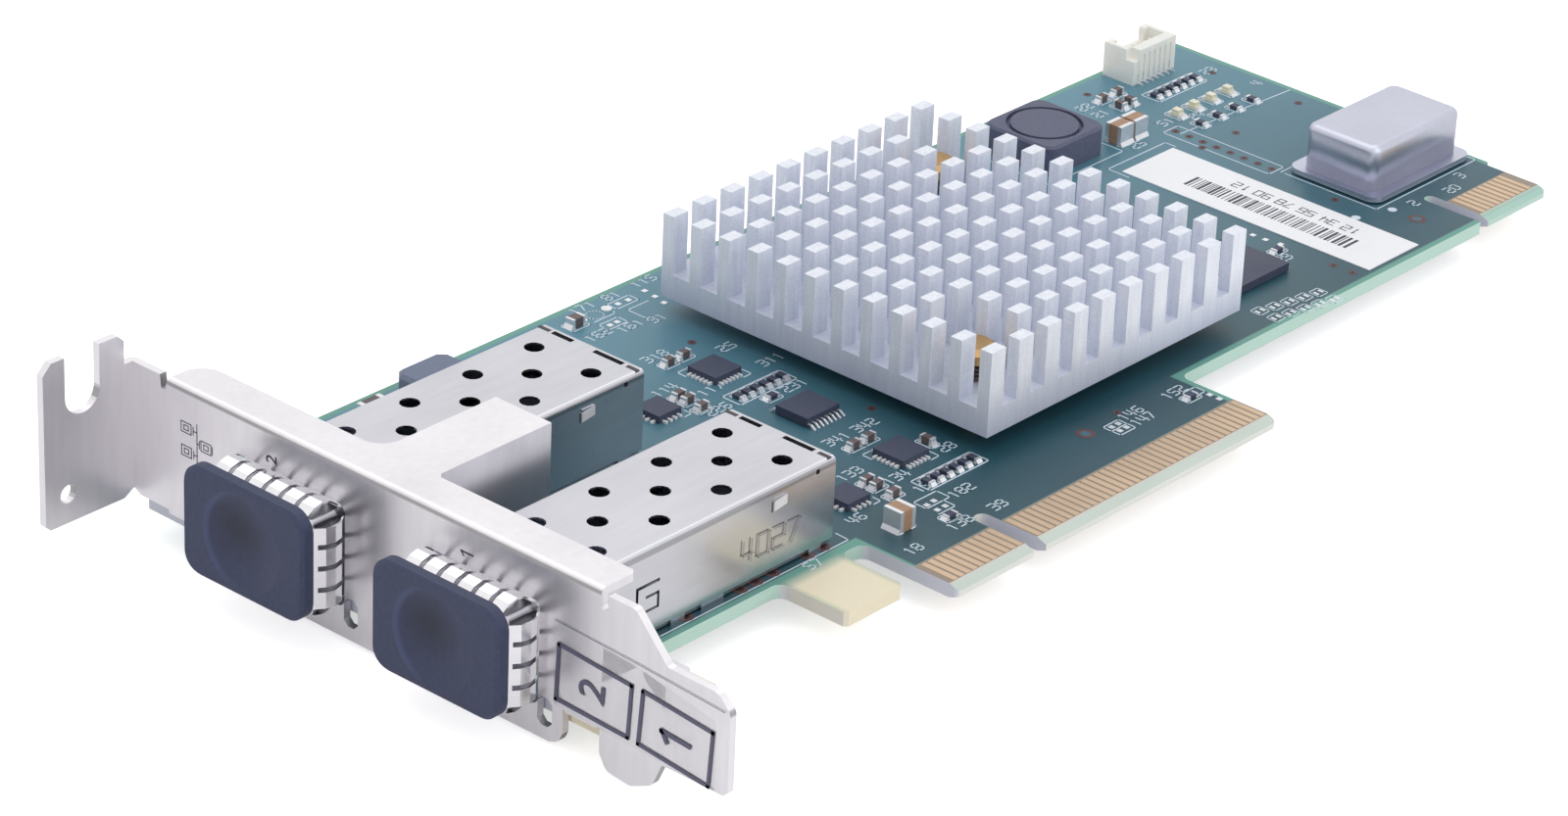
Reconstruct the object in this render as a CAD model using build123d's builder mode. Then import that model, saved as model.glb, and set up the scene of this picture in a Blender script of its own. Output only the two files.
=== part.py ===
from build123d import *
from math import atan2, cos, degrees, pi, sin
import os

os.makedirs("parts", exist_ok=True)

# Low-profile two-port network card. Millimetres. X runs along the board away from the bracket,
# Y runs from the edge connector up to the back edge, Z points out of the component side.
# Origin: middle of the key notch (X), mating edge of the connector tongue (Y), middle of the board (Z).

# Board
board_thickness = 1.57
board_top = board_thickness / 2
board_bottom = -board_thickness / 2
card_height = 68.9            # tongue edge to back edge
board_right = 108.5
front_edge = 13.0             # front edge of the board beside the tongue
copper = 0.035

# Edge connector
pad_pitch = 1.0
pads_before_key = 11
pads_after_key = 38
key_step = 1.5                # key centre to the nearest pad centre
key_width = 1.9
key_depth = 8.45
pad_width = 0.7
pad_length = 4.3
pad_setback = 1.3             # tongue edge to pad end
tongue_margin = 1.1           # outer pad centre to the side of the tongue
tongue_left = -(key_step + (pads_before_key - 1) * pad_pitch + tongue_margin)
tongue_right = key_step + (pads_after_key - 1) * pad_pitch + 0.65
bevel_run = 1.25
bevel_drop = 0.45

# Small second connector in the far front corner
aux_slot_x = 95.3
aux_slot_width = 1.6
aux_slot_top = 21.3
aux_right = board_right - 0.75
aux_pads = 10
aux_pitch = 1.0
aux_pad_length = 4.4
aux_first = aux_slot_x + aux_slot_width / 2 + 1.0

# Bare tabs left on the front edge
ear_front = 3.7
stub_left = -24.4
stub_right = -16.0
stub_front = 4.3

# Bracket
sheet = 0.86
bracket_x = -57.15            # outer face, set by the card standard from the key notch
inner_face = bracket_x + sheet
board_left = inner_face + 0.29
ear_right = bracket_x + 13.85
tab_y = card_height + 0.4     # seat face of the screw tab
tab_length = 11.43
bracket_end = -9.9
plate_low = 0.45              # plate edge heights are given above the board
plate_skirt = -4.0
skirt_front = 10.8
skirt_slope = 1.2
flange_top = 14.9
flange_back = bracket_x + 4.75
flange_left = tab_y - 4.9
flange_right = 6.35
notch_depth = 1.3             # the flange stands proud of the plate beyond its two ends
nib_width = 3.4
nib_height = flange_top - 0.4
arm_height = flange_top - 4.8  # the low arm beyond the edge connector
arm_low = -0.45
arm_corner = 1.6
lug_front = -0.6              # the lug that hooks under the board
lug_back = 6.1
lug_depth = -4.4
tab_low = 0.2
tab_high = 18.33
tab_hole = 2.0
tongue_reach = bracket_x + 20.25
leg_start = bracket_x + 5.85
tongue_y0 = 32.2
tongue_y1 = 39.7
slot_width = 4.42
slot_x = bracket_x - 6.45
slot_floor = 11.65
foot_width = 4.2
foot_reach = bracket_x + 13.25
foot_corner = 0.6

# Ports
port_pitch = 25.75
port_1_y = 21.7
port_2_y = port_1_y + port_pitch
ports = {"port_1": port_1_y, "port_2": port_2_y}
cage_width = 14.25
cage_height = 9.85            # above the board
cage_front = bracket_x - 4.55
cage_rear = -14.9
cage_sheet = 0.25
cage_lift = 0.75              # side walls stop here above the board, between the feet
vent_diameter = 2.15
vent_sides = 12               # small repeated holes are many-sided
vent_pitch = 4.4
vent_offset = 3.96
pin_hole = 1.2
pin_hole_sides = 8
first_vent = cage_rear - 4.45
cage_fit = 0.05               # clearance between cover and base

# Spring collars
collar_sheet = 0.2
collar_gap = 0.05             # collar to cage
collar_bulge = 1.0
collar_band = 0.8
bow_steps = 4                 # straight lengths in each bowed finger
finger_gap = 0.55
fingers_along = 6
fingers_up = 4
collar_tip = bracket_x + 0.25
cutout_fit = 0.15             # spring fingers to the bracket cut-out

# Dust plugs
plug_flange = 1.5
plug_width = 16.6
plug_height = 11.9
plug_corner = 2.3
plug_tail = 17.0
plug_wall = 1.3
plug_fit = 0.3
bowl_width = 10.4
bowl_depth = 1.1

# Heat sink
package_height = 1.75
pad_gap = 0.25
sink_bottom = package_height + pad_gap    # above the board
sink_x = 10.47
sink_y = 15.92
pin_pitch_x = 4.487
pin_pitch_y = 3.994
pin_x = 2.273
pin_y = 1.521
pins_along_x = 10
pins_along_y = 12
sink_base = 2.9
sink_top = sink_bottom + 9.7
sink_width = (pins_along_x - 1) * pin_pitch_x + pin_x
sink_depth = (pins_along_y - 1) * pin_pitch_y + pin_y

# Push pins
push_head = 5.0
push_shaft = 2.0
push_hole = 2.6
push_head_height = 1.5
spring_space = 2.2
push_top = sink_bottom + sink_base + spring_space + push_head_height
push_sides = 16
spring_radius = 1.75
spring_wire = 0.4
spring_turns = 3
spring_steps = 8              # straight lengths in each turn
spring_fit = 0.03

cage_holes = [(cage_rear - dx, side) for dx in (2.6, 17.5, 31.6) for side in (-1, 1)]
pin_y_offset = cage_width / 2 - 0.6
cage_back_wall = port_2_y + cage_width / 2
back_strip = card_height - cage_back_wall      # free board behind the second cage
rear_screw = cage_back_wall + 0.532 * back_strip
screw_points = [(bracket_x + 8.65, 8.45), (bracket_x + 8.65, rear_screw)]
screw_shank = 2.5
screw_head = 5.0
screw_sides = 16
screw_hole = screw_shank + 0.4

# Places of the loose parts, from the edges of the board and of the heat sink
sink_right = sink_x + sink_width
header_x = board_right - 9.9
header_y = card_height - 3.0
header_pins = 7
pull_up_y = card_height - 9.0
lamp_y = card_height - 14.1
lamp_resistor_y = card_height - 17.6
first_lamp = board_right - 16.5
lamp_pitch = 3.2
lamp_count = 4
lamp_x = [first_lamp + i * lamp_pitch for i in range(lamp_count)]
choke_x = sink_right + 19.37
choke_y = card_height - 9.7
choke_size = 10.4
choke_height = 3.6
rear_choke_x = cage_rear - 5.7
rear_choke_y = cage_back_wall + 0.6 * back_strip
rear_choke_size = 7.2
rear_choke_height = 3.1
tall_cap_x = choke_x + 8.7
tall_cap_y = card_height - 13.95
osc_x = board_right - 10.2
osc_y = front_edge + 17.0
osc_flange_length = 19.0
memory_left = sink_right + 4.27
memory_right = memory_left + 10.7
memory_front = front_edge + 7.4
memory_back = memory_front + 9.0
label_width = 9.4
label_free = osc_x - osc_flange_length / 2 - memory_right - label_width
label_x = memory_right + 0.6 * label_free + label_width / 2
label_front = front_edge + 1.3
label_back = card_height - 19.5
driver_x = sink_x - 6.27
driver_y = sink_y + 18.88


def block(x0, x1, y0, y1, z0, z1, mode=Mode.ADD):
    """A straight block between two corners, heights counted from the top of the board."""
    with Locations(((x0 + x1) / 2, (y0 + y1) / 2, board_top + (z0 + z1) / 2)):
        Box(x1 - x0, y1 - y0, z1 - z0, mode=mode)


def studs(points, width, length, z0, z1):
    """Equal straight pieces on a list of points, heights counted from the top of the board."""
    with BuildSketch(Plane.XY.offset(board_top + z0)) as footprint:
        with Locations(*points):
            Rectangle(width, length)
    extrude(footprint.sketch, amount=z1 - z0)


def level(height):
    """Plane parallel to the board at a height above its component side."""
    return Plane.XY.offset(board_top + height)


def across(x):
    """Plane square to X; its own x is Y and its own y is Z."""
    return Plane.YZ.offset(x)


def facing_front(y):
    """Plane square to Y at the given Y; its own x is X, its own y is Z, and it extrudes forwards."""
    return Plane.XZ.offset(-y)


def near(vertices, points, reach=0.05):
    return [v for v in vertices if any(abs(v.X - p[0]) < reach and abs(v.Y - p[1]) < reach for p in points)]


def cut_corners(width, height, corner):
    """Points of a rectangle with its corners cut off, round its middle."""
    a, b = width / 2, height / 2
    quarter = [(a, b - corner), (a - corner, b)]
    half = quarter + [(-x, y) for x, y in reversed(quarter)]
    return half + [(x, -y) for x, y in reversed(half)]


def save(part, name):
    part.part.label = name
    export_step(part.part, f"parts/{name}.step")


push_points = [
    (sink_x + pin_pitch_x + pin_x / 2, sink_y + 1.5 * pin_pitch_y + pin_y / 2),
    (sink_x + (pins_along_x - 2) * pin_pitch_x + pin_x / 2,
     sink_y + (pins_along_y - 2.5) * pin_pitch_y + pin_y / 2),
]

# Circuit board
inner_corners = [(ear_right, front_edge), (stub_left, front_edge), (tongue_right, front_edge)]
slot_corners = [(stub_right, front_edge - 0.4), (tongue_left, front_edge - 0.4)]
outline_points = [
    (board_left, card_height), (board_left, ear_front), (ear_right, ear_front), (ear_right, front_edge),
    (stub_left, front_edge), (stub_left, stub_front), (stub_right, stub_front),
    (stub_right, front_edge - 0.4), (tongue_left, front_edge - 0.4), (tongue_left, 0), (tongue_right, 0),
    (tongue_right, front_edge), (aux_right, front_edge), (aux_right, aux_slot_top),
    (board_right, aux_slot_top + 0.6), (board_right, card_height),
]
tongue_corners = [(tongue_left, 0), (tongue_right, 0), (aux_right, front_edge)]
outer_corners = [(board_left, card_height), (board_right, card_height), (ear_right, ear_front),
                 (stub_left, stub_front), (stub_right, stub_front)]
with BuildPart() as circuit_board:
    with BuildSketch(Plane.XY.offset(board_bottom)) as outline:
        with BuildLine():
            Polyline(*outline_points, close=True)
        make_face()
        fillet(near(outline.vertices(), inner_corners + slot_corners), radius=1.2)
        fillet(near(outline.vertices(), tongue_corners), radius=0.7)
        chamfer(near(outline.vertices(), outer_corners), length=0.4)
        with Locations((0, key_depth / 2 - 1)):
            SlotOverall(key_depth + 2, key_width, rotation=90, mode=Mode.SUBTRACT)
        with Locations((aux_slot_x, (front_edge + aux_slot_top) / 2 - 1)):
            SlotOverall(aux_slot_top - front_edge + 2, aux_slot_width, rotation=90, mode=Mode.SUBTRACT)
    extrude(amount=board_thickness)
    # Lead-in bevels on both faces of the two mating edges
    for edge, x0, x1 in ((0, tongue_left - 1, tongue_right + 0.5), (front_edge, aux_slot_x, board_right + 1)):
        for side in (-1, 1):
            with BuildSketch(across(x0)):
                with BuildLine():
                    Polyline((edge - 0.01, side * board_top), (edge + bevel_run, side * board_top),
                             (edge - 0.01, side * (board_top - bevel_drop)), close=True)
                make_face()
            extrude(amount=x1 - x0, mode=Mode.SUBTRACT)
    # Holes for cage pins, heat-sink pins and bracket screws
    with BuildSketch(Plane.XY.offset(board_bottom)):
        with Locations(*[(x, y + side * pin_y_offset) for y in ports.values() for x, side in cage_holes]):
            RegularPolygon(pin_hole / 2, pin_hole_sides)
        with Locations(*push_points):
            RegularPolygon(push_hole / 2, push_sides)
        with Locations(*screw_points):
            RegularPolygon(screw_hole / 2, screw_sides)
    extrude(amount=board_thickness, mode=Mode.SUBTRACT)
save(circuit_board, "circuit_board")

# Gold fingers on both faces
pad_x = [-(key_step + i * pad_pitch) for i in range(pads_before_key)]
pad_x += [key_step + i * pad_pitch for i in range(pads_after_key)]
aux_x = [aux_first + i * aux_pitch for i in range(aux_pads)]
finger_sets = (
    ("edge_contacts_top", pad_x, pad_setback, pad_length, board_top, copper),
    ("edge_contacts_bottom", pad_x, pad_setback, pad_length, board_bottom, -copper),
    ("aux_contacts_top", aux_x, front_edge + pad_setback, aux_pad_length, board_top, copper),
    ("aux_contacts_bottom", aux_x, front_edge + pad_setback, aux_pad_length, board_bottom, -copper),
)
for finger_name, columns, low, length, face, rise in finger_sets:
    with BuildPart() as fingers:
        with BuildSketch(Plane.XY.offset(face)):
            with Locations(*[(x, low + length / 2) for x in columns]):
                Rectangle(pad_width, length)
        extrude(amount=rise)
    save(fingers, finger_name)

# Bracket: one bent sheet with face plate, top flange, centre leg, screw tab and two board tabs
collar_low = -0.1             # the collar dips just under the face of the board
collar_root = cage_front + 0.7


def bow(t):
    """Height of a bowed finger over its foot at a share of its length: straight steps on a parabola."""
    start = min(int(t * bow_steps), bow_steps - 1) / bow_steps
    end = start + 1 / bow_steps
    low, high = [4 * collar_bulge * u * (1 - u) for u in (start, end)]
    return low + (high - low) * (t - start) / (end - start)


near_tip = (collar_tip - bracket_x) / (collar_tip - collar_root)
finger_rise = collar_gap + collar_sheet + bow(near_tip)
cutout_y = cage_width / 2 + finger_rise + cutout_fit
cutout_low = collar_low - finger_rise - cutout_fit
cutout_high = cage_height + finger_rise + cutout_fit
foot_y = [y - foot_width / 2 for _, y in screw_points]
skirt_back = cage_back_wall + 3.0
arm_front = bracket_end + arm_corner
nib_back = flange_right - 0.9
nib_front = nib_back - nib_width
nib_foot = nib_front - 4.15
crown = flange_top + 0.1      # top of the corner where the tab is folded
with BuildPart() as bracket:
    with BuildSketch(Plane.YZ.offset(bracket_x) * Pos(0, board_top)) as plate:
        with BuildLine():
            Polyline(
                (tab_y + sheet, plate_low + 0.5), (tab_y + sheet, crown),
                (tab_y - 3.9, crown), (tab_y - 4.1, flange_top - notch_depth),
                (flange_left + 0.2, flange_top - notch_depth),
                (flange_left, flange_top), (flange_right, flange_top), (flange_right, flange_top - 2.2),
                (nib_back, flange_top - 2.2), (nib_back, nib_height), (nib_front, nib_height),
                (nib_foot, arm_height), (arm_front, arm_height - 0.1), (bracket_end, arm_height - arm_corner),
                (bracket_end, arm_low), (lug_front - 1.2, arm_low), (lug_front, plate_skirt + 0.8),
                (lug_front + 2.8, lug_depth), (lug_back - 0.9, plate_skirt), (lug_back, plate_skirt + 1.6),
                (lug_back, tab_low), (skirt_front, tab_low), (skirt_front, plate_skirt + 1.0),
                (skirt_front + skirt_slope, plate_skirt), (skirt_back, plate_skirt), (skirt_back, plate_low),
                (tab_y - 0.9, plate_low), (tab_y, plate_low + 0.5), close=True)
        make_face()
        arm_tip = [(arm_front, arm_height - 0.1), (bracket_end, arm_height - arm_corner)]
        fillet(near(plate.vertices(), arm_tip), radius=1.2)
        fillet(near(plate.vertices(), [(nib_front, nib_height), (nib_foot, arm_height)]), radius=1.0)
        lug_tip = [(lug_front, plate_skirt + 0.8), (lug_front + 2.8, lug_depth),
                   (lug_back - 0.9, plate_skirt)]
        fillet(near(plate.vertices(), lug_tip), radius=1.2)
        plain_corners = [(bracket_end, arm_low), (skirt_front, plate_skirt + 1.0),
                         (skirt_front + skirt_slope, plate_skirt)]
        chamfer(near(plate.vertices(), plain_corners), length=0.5)
        notch_floor = [(flange_right, flange_top - 2.2), (nib_back, flange_top - 2.2)]
        chamfer(near(plate.vertices(), notch_floor), length=0.3)
        for y in ports.values():
            with Locations((y, (cutout_low + cutout_high) / 2)):
                RectangleRounded(2 * cutout_y, cutout_high - cutout_low, 0.9, mode=Mode.SUBTRACT)
            # Window for the port's lamp
            with Locations((y - 8.6, -1.0)):
                Polygon(*cut_corners(1.9, 3.1, 0.55), mode=Mode.SUBTRACT)
    extrude(amount=sheet)
    # Top flange and the tongue that reaches back between the cages
    with BuildSketch(level(flange_top - sheet)) as flange:
        with BuildLine():
            Polyline((bracket_x, flange_left), (flange_back, flange_left), (flange_back, tongue_y1),
                     (tongue_reach, tongue_y1), (tongue_reach, tongue_y0), (flange_back, tongue_y0),
                     (flange_back, flange_right), (bracket_x, flange_right), close=True)
        make_face()
        fillet(near(flange.vertices(), [(flange_back, tongue_y1), (flange_back, flange_left)]), radius=2.5)
        chamfer(near(flange.vertices(), [(flange_back, tongue_y0), (flange_back, flange_right)]), length=0.5)
    extrude(amount=sheet)
    # Centre leg folded down from the tongue to the board
    with BuildSketch(facing_front(tongue_y0 + sheet)):
        with Locations(((tongue_reach + leg_start) / 2, board_top + flange_top / 2)):
            Rectangle(tongue_reach - leg_start, flange_top)
    extrude(amount=sheet)
    # Screw tab with its open notch
    tab_x = bracket_x - tab_length
    crown_x = bracket_x - 1.05
    with BuildSketch(Plane.XZ.offset(-tab_y - sheet) * Pos(0, board_top)) as screw_tab:
        with BuildLine():
            Polyline((inner_face, plate_low + 0.5), (bracket_x - 0.1, plate_low + 0.5),
                     (bracket_x - 1.25, tab_low), (tab_x + 0.6, tab_low), (tab_x, tab_low + 0.6),
                     (tab_x, tab_high - 1.1), (tab_x + 1.1, tab_high), (crown_x, tab_high), (crown_x, crown),
                     (inner_face, crown), close=True)
        make_face()
        chamfer(near(screw_tab.vertices(), [(crown_x, tab_high)]), length=0.8)
        with Locations((slot_x, slot_floor + 10)):
            SlotOverall(20, slot_width, rotation=90, mode=Mode.SUBTRACT)
        with Locations((bracket_x - 8.5, 3.4)):
            RegularPolygon(tab_hole / 2, screw_sides, mode=Mode.SUBTRACT)
    extrude(amount=sheet)
    # Tabs that lie on the board over the screws
    with BuildSketch(level(0)) as feet:
        for y in foot_y:
            with Locations(((bracket_x + foot_reach) / 2, y + foot_width / 2)):
                Rectangle(foot_reach - bracket_x, foot_width)
        chamfer([v for v in feet.vertices() if v.X > bracket_x + 1], length=foot_corner)
        with Locations(*screw_points):
            RegularPolygon(screw_shank / 2, screw_sides, mode=Mode.SUBTRACT)
    extrude(amount=sheet)
    bend = [e for e in bracket.edges() if abs(e.center().X - bracket_x) < 0.01
            and abs(e.center().Z - board_top - flange_top) < 0.01 and e.length > 20]
    bend += [e for e in bracket.edges() if abs(e.center().X - inner_face) < 0.01
             and abs(e.center().Y - tab_y - sheet) < 0.01 and e.length > 8]
    fillet(bend, radius=0.7)
save(bracket, "bracket")

# Cages: perforated covers on bases with a floor, a rear wall and board pins
cage_length = cage_rear - cage_front
for port, y in ports.items():
    half = cage_width / 2
    with BuildPart() as cover:
        with BuildSketch(across(cage_front)) as section:
            with Locations((y, board_top + cage_height / 2)):
                Rectangle(cage_width, cage_height)
            fillet([v for v in section.vertices() if v.Y > board_top + 5], radius=0.55)
            with Locations((y, board_top + (cage_height - cage_sheet) / 2 - 1)):
                Rectangle(cage_width - 2 * cage_sheet, cage_height - cage_sheet + 2, mode=Mode.SUBTRACT)
        extrude(amount=cage_length)
        # Side walls stand on short feet
        feet_x = [cage_front, bracket_x + 1.2]
        feet_x += [cage_rear - dx for dx in (32.7, 30.5, 23.4, 21.5, 19.1, 15.9, 3.5, 1.7, 0)]
        for i in range(1, len(feet_x) - 1, 2):
            block(feet_x[i], feet_x[i + 1], y - half - 1, y + half + 1, -0.01, cage_lift, Mode.SUBTRACT)
        block(cage_front - 1, feet_x[1], y - half - 1, y + half + 1, -0.01, 0.1, Mode.SUBTRACT)
        # Vent holes in a staggered pattern
        vents = []
        for row in range(9):
            x = first_vent - row * vent_pitch
            vents += [(x, y - vent_offset), (x, y + vent_offset)] if row % 2 == 0 else [(x, y)]
        with BuildSketch(level(cage_height - 1)):
            with Locations(*vents):
                RegularPolygon(vent_diameter / 2, vent_sides)
        extrude(amount=2, mode=Mode.SUBTRACT)
        # Cut-outs behind the rear bend, one in each half of the top
        above, below = cage_height + 1, cage_height - 1
        block(cage_rear - 1.0, cage_rear - 0.35, y + 2.2, y + 5.0, below, above, Mode.SUBTRACT)
        block(cage_rear - 1.0, cage_rear - 0.35, y - 4.8, y - 0.8, below, above, Mode.SUBTRACT)
        block(cage_rear - 2.9, cage_rear - 2.4, y - half - 1, y - half + 0.5, below, below + 0.5, Mode.SUBTRACT)
        # Latch bosses and the hooked release cut in each side wall
        for side in (-1, 1):
            outer = y + side * half
            lo, hi = sorted((outer, outer + side * 0.15))
            block(cage_rear - 9.1, cage_rear - 7.3, lo, hi, 7.25, 8.55)
            lo, hi = sorted((outer - side * 0.5, outer + side * 0.5))
            hook = cage_rear - 28.5
            block(hook, hook + 0.35, lo, hi, 2.6, 6.1, Mode.SUBTRACT)
            block(hook + 0.35, hook + 3.3, lo, hi, 5.75, 6.1, Mode.SUBTRACT)
            block(hook + 1.4, hook + 3.3, lo, hi, 4.45, 4.75, Mode.SUBTRACT)
            block(hook + 3.0, hook + 3.3, lo, hi, 2.9, 4.45, Mode.SUBTRACT)
            block(hook + 1.4, hook + 3.0, lo, hi, 2.9, 3.2, Mode.SUBTRACT)
    save(cover, f"{port}_cage_cover")

    inner = half - cage_sheet - cage_fit
    with BuildPart() as base:
        block(cage_front + 0.5, cage_rear - 0.1, y - inner, y + inner, 0.2, 0.2 + cage_sheet)
        block(cage_rear - 13.6, cage_rear - 1.7, y - inner + 0.7, y + inner - 0.7, 0.1, 0.5, Mode.SUBTRACT)
        block(cage_rear - 0.1 - cage_sheet, cage_rear - 0.1, y - inner, y + inner, 0.2,
              cage_height - cage_sheet - cage_fit)
        for x, side in cage_holes:
            centre = y + side * pin_y_offset
            block(x - 0.35, x + 0.35, centre - 0.15, centre + 0.15, -board_thickness - 0.8, 0.3)
    save(base, f"{port}_cage_base")

    # Host connector inside the cage: a block with a mouth for the module's edge
    host_front = cage_rear - 11.9
    host_back = host_front + 9.2
    with BuildPart() as host:
        with BuildSketch(facing_front(y + 5.9)) as side_view:
            with BuildLine():
                Polyline((host_front, board_top), (host_back, board_top), (host_back, board_top + 5.4),
                         (host_front + 2.2, board_top + 5.4), (host_front, board_top + 4.9), close=True)
            make_face()
        extrude(amount=11.8)
        block(host_front - 0.1, host_front + 5.3, y - 5.1, y + 5.1, 2.2, 3.5, Mode.SUBTRACT)
    save(host, f"{port}_host_connector")

    # Spring collar: front band round the cage with rows of bowed fingers
    middle = board_top + (cage_height + collar_low) / 2
    inner_w = cage_width + 2 * collar_gap
    inner_h = cage_height - collar_low + 2 * collar_gap
    finger_length = collar_tip - collar_root
    finger_root = cage_front + collar_band + 0.3
    with BuildPart() as collar:
        with BuildSketch(across(cage_front)):
            with Locations((y, middle)):
                RectangleRounded(inner_w + 2 * collar_sheet, inner_h + 2 * collar_sheet, 0.7)
                Polygon(*cut_corners(inner_w, inner_h, 0.3), mode=Mode.SUBTRACT)
        extrude(amount=collar_band)
        # One wall of fingers on each side: a bowed strip, then the gaps between its fingers
        walls = ((0, inner_h / 2, inner_w - 1.3, fingers_along), (90, inner_w / 2, inner_h - 1.3, fingers_up))
        for turn, reach, span, count in walls:
            for wall_turn in (turn, turn + 180):
                wall = Pos(0, y, middle) * Rot(wall_turn, 0, 0)
                with BuildSketch(Plane(wall * Pos(0, span / 2, reach)) * Plane.XZ) as strip:
                    crest = [(collar_root + finger_length * i / bow_steps, bow(i / bow_steps))
                             for i in range(bow_steps + 1)]
                    with BuildLine():
                        Polyline(*crest, *[(x, z + collar_sheet) for x, z in reversed(crest)], close=True)
                    make_face()
                extrude(amount=span)
                step = (span + finger_gap) / count
                for i in range(1, count):
                    middle_of_gap = i * step - (span + finger_gap) / 2
                    with Locations(wall * Pos((finger_root + collar_tip) / 2, middle_of_gap, reach + 1)):
                        Box(collar_tip - finger_root + 0.02, finger_gap, 3, mode=Mode.SUBTRACT)
    save(collar, f"{port}_spring_collar")

    # Dust plug: rounded face plate with a thumb hollow and a thin-walled tail
    plug_z = board_top + (cage_height - 0.1) / 2 + 0.65
    tail_z = board_top + (0.2 + cage_sheet + cage_height - cage_sheet) / 2
    tail_w = cage_width - 2 * cage_sheet - 2 * plug_fit
    tail_h = cage_height - 2 * cage_sheet - 0.2 - 2 * plug_fit
    face_x = cage_front - plug_flange
    with BuildPart() as plug:
        with BuildSketch(across(face_x)):
            with Locations((y + 0.1, plug_z)):
                RectangleRounded(plug_width, plug_height, plug_corner)
        extrude(amount=plug_flange)
        rim = [e for e in plug.edges() if abs(e.center().X - face_x) < 0.01]
        chamfer(rim, length=0.35)
        with BuildSketch(across(cage_front)):
            with Locations((y, tail_z)):
                tail = Rectangle(tail_w, tail_h)
            chamfer(tail.vertices(), length=0.6)
        extrude(amount=plug_tail)
        with BuildSketch(across(cage_front + 0.6)):
            with Locations((y, tail_z)):
                Rectangle(tail_w - 2 * plug_wall, tail_h - 2 * plug_wall)
        extrude(amount=plug_tail, mode=Mode.SUBTRACT)
        # Thumb hollow: a shallow round bowl in the face
        bowl_radius = (bowl_width ** 2 / 4 + bowl_depth ** 2) / (2 * bowl_depth)
        with Locations((face_x - bowl_radius + bowl_depth, y + 0.1, plug_z)):
            Sphere(bowl_radius, rotation=(0, 0, 180), mode=Mode.SUBTRACT)
    save(plug, port.replace("port", "dust_plug"))

# Heat sink: cross-cut pins on a plate, with two pins left out at each push pin
with BuildPart() as heat_sink:
    with BuildSketch(level(sink_bottom)):
        with Locations((sink_x + sink_width / 2, sink_y + sink_depth / 2)):
            Rectangle(sink_width, sink_depth)
    extrude(amount=sink_base)
    missing = {(1, 1), (1, 2), (pins_along_x - 2, pins_along_y - 2), (pins_along_x - 2, pins_along_y - 3)}
    with BuildSketch(level(sink_bottom + sink_base)):
        with Locations(*[(sink_x + i * pin_pitch_x + pin_x / 2, sink_y + j * pin_pitch_y + pin_y / 2)
                         for i in range(pins_along_x) for j in range(pins_along_y) if (i, j) not in missing]):
            Rectangle(pin_x, pin_y)
    extrude(amount=sink_top - sink_bottom - sink_base)
    with BuildSketch(level(sink_bottom)):
        with Locations(*push_points):
            RegularPolygon(push_hole / 2, push_sides)
    extrude(amount=sink_base, mode=Mode.SUBTRACT)
save(heat_sink, "heat_sink")

# Push pins with barbed tips, and their coil springs
seat = sink_bottom + sink_base
under_head = push_top - push_head_height
barb_top = -board_thickness - 0.25
push_profile = [
    (push_head * 0.72, push_top), (push_head, push_top - 0.5), (push_head, under_head),
    (push_shaft, under_head), (push_shaft, barb_top), (push_shaft + 0.5, barb_top - 0.15),
    (push_shaft / 2, barb_top - 1.95),
]
for n, (x, y) in enumerate(push_points, start=1):
    with BuildPart() as push_pin:
        for (top_width, top), (low_width, low) in zip(push_profile, push_profile[1:]):
            if top == low:
                continue
            with BuildSketch(level(low)):
                with Locations((x, y)):
                    RegularPolygon(low_width / 2, push_sides, major_radius=False)
            slant = degrees(atan2((low_width - top_width) / 2, top - low))
            extrude(amount=top - low, taper=slant)
    save(push_pin, f"push_pin_{n}")

coil_foot = seat + spring_wire / 2 + spring_fit
coil_height = under_head - seat - spring_wire - 2 * spring_fit
coil_steps = spring_turns * spring_steps
with BuildPart() as springs:
    for x, y in push_points:
        with BuildLine() as coil:
            Polyline(*[(x + spring_radius * cos(2 * pi * i / spring_steps),
                        y + spring_radius * sin(2 * pi * i / spring_steps),
                        board_top + coil_foot + coil_height * i / coil_steps) for i in range(coil_steps + 1)])
        with BuildSketch(Plane(origin=coil.line @ 0, x_dir=(1, 0, 0), z_dir=coil.line % 0)):
            Rectangle(spring_wire, spring_wire)
        sweep(path=coil.line, transition=Transition.RIGHT)
save(springs, "push_pin_springs")

# Controller package under the heat sink and its thermal pad
centre_x = sink_x + sink_width / 2
centre_y = sink_y + sink_depth / 2
with BuildPart() as controller:
    block(centre_x - 13.5, centre_x + 13.5, centre_y - 13.5, centre_y + 13.5, 0.35, 1.0)
    block(centre_x - 11.0, centre_x + 11.0, centre_y - 11.0, centre_y + 11.0, 1.0, package_height)
    block(centre_x - 12.6, centre_x + 12.6, centre_y - 12.6, centre_y + 12.6, 0, 0.35)
save(controller, "controller_package")

with BuildPart() as thermal_pad:
    block(centre_x - 10.0, centre_x + 10.0, centre_y - 10.0, centre_y + 10.0, package_height, sink_bottom)
save(thermal_pad, "thermal_pad")

# Screws that hold the bracket tabs, put in from the solder side
with BuildPart() as screws:
    for low, high, width in ((-board_thickness - 1.8, -board_thickness, screw_head),
                             (-board_thickness, sheet + 0.4, screw_shank - 0.04)):
        with BuildSketch(level(low)):
            with Locations(*screw_points):
                RegularPolygon(width / 2, screw_sides)
        extrude(amount=high - low)
save(screws, "bracket_screws")

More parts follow.
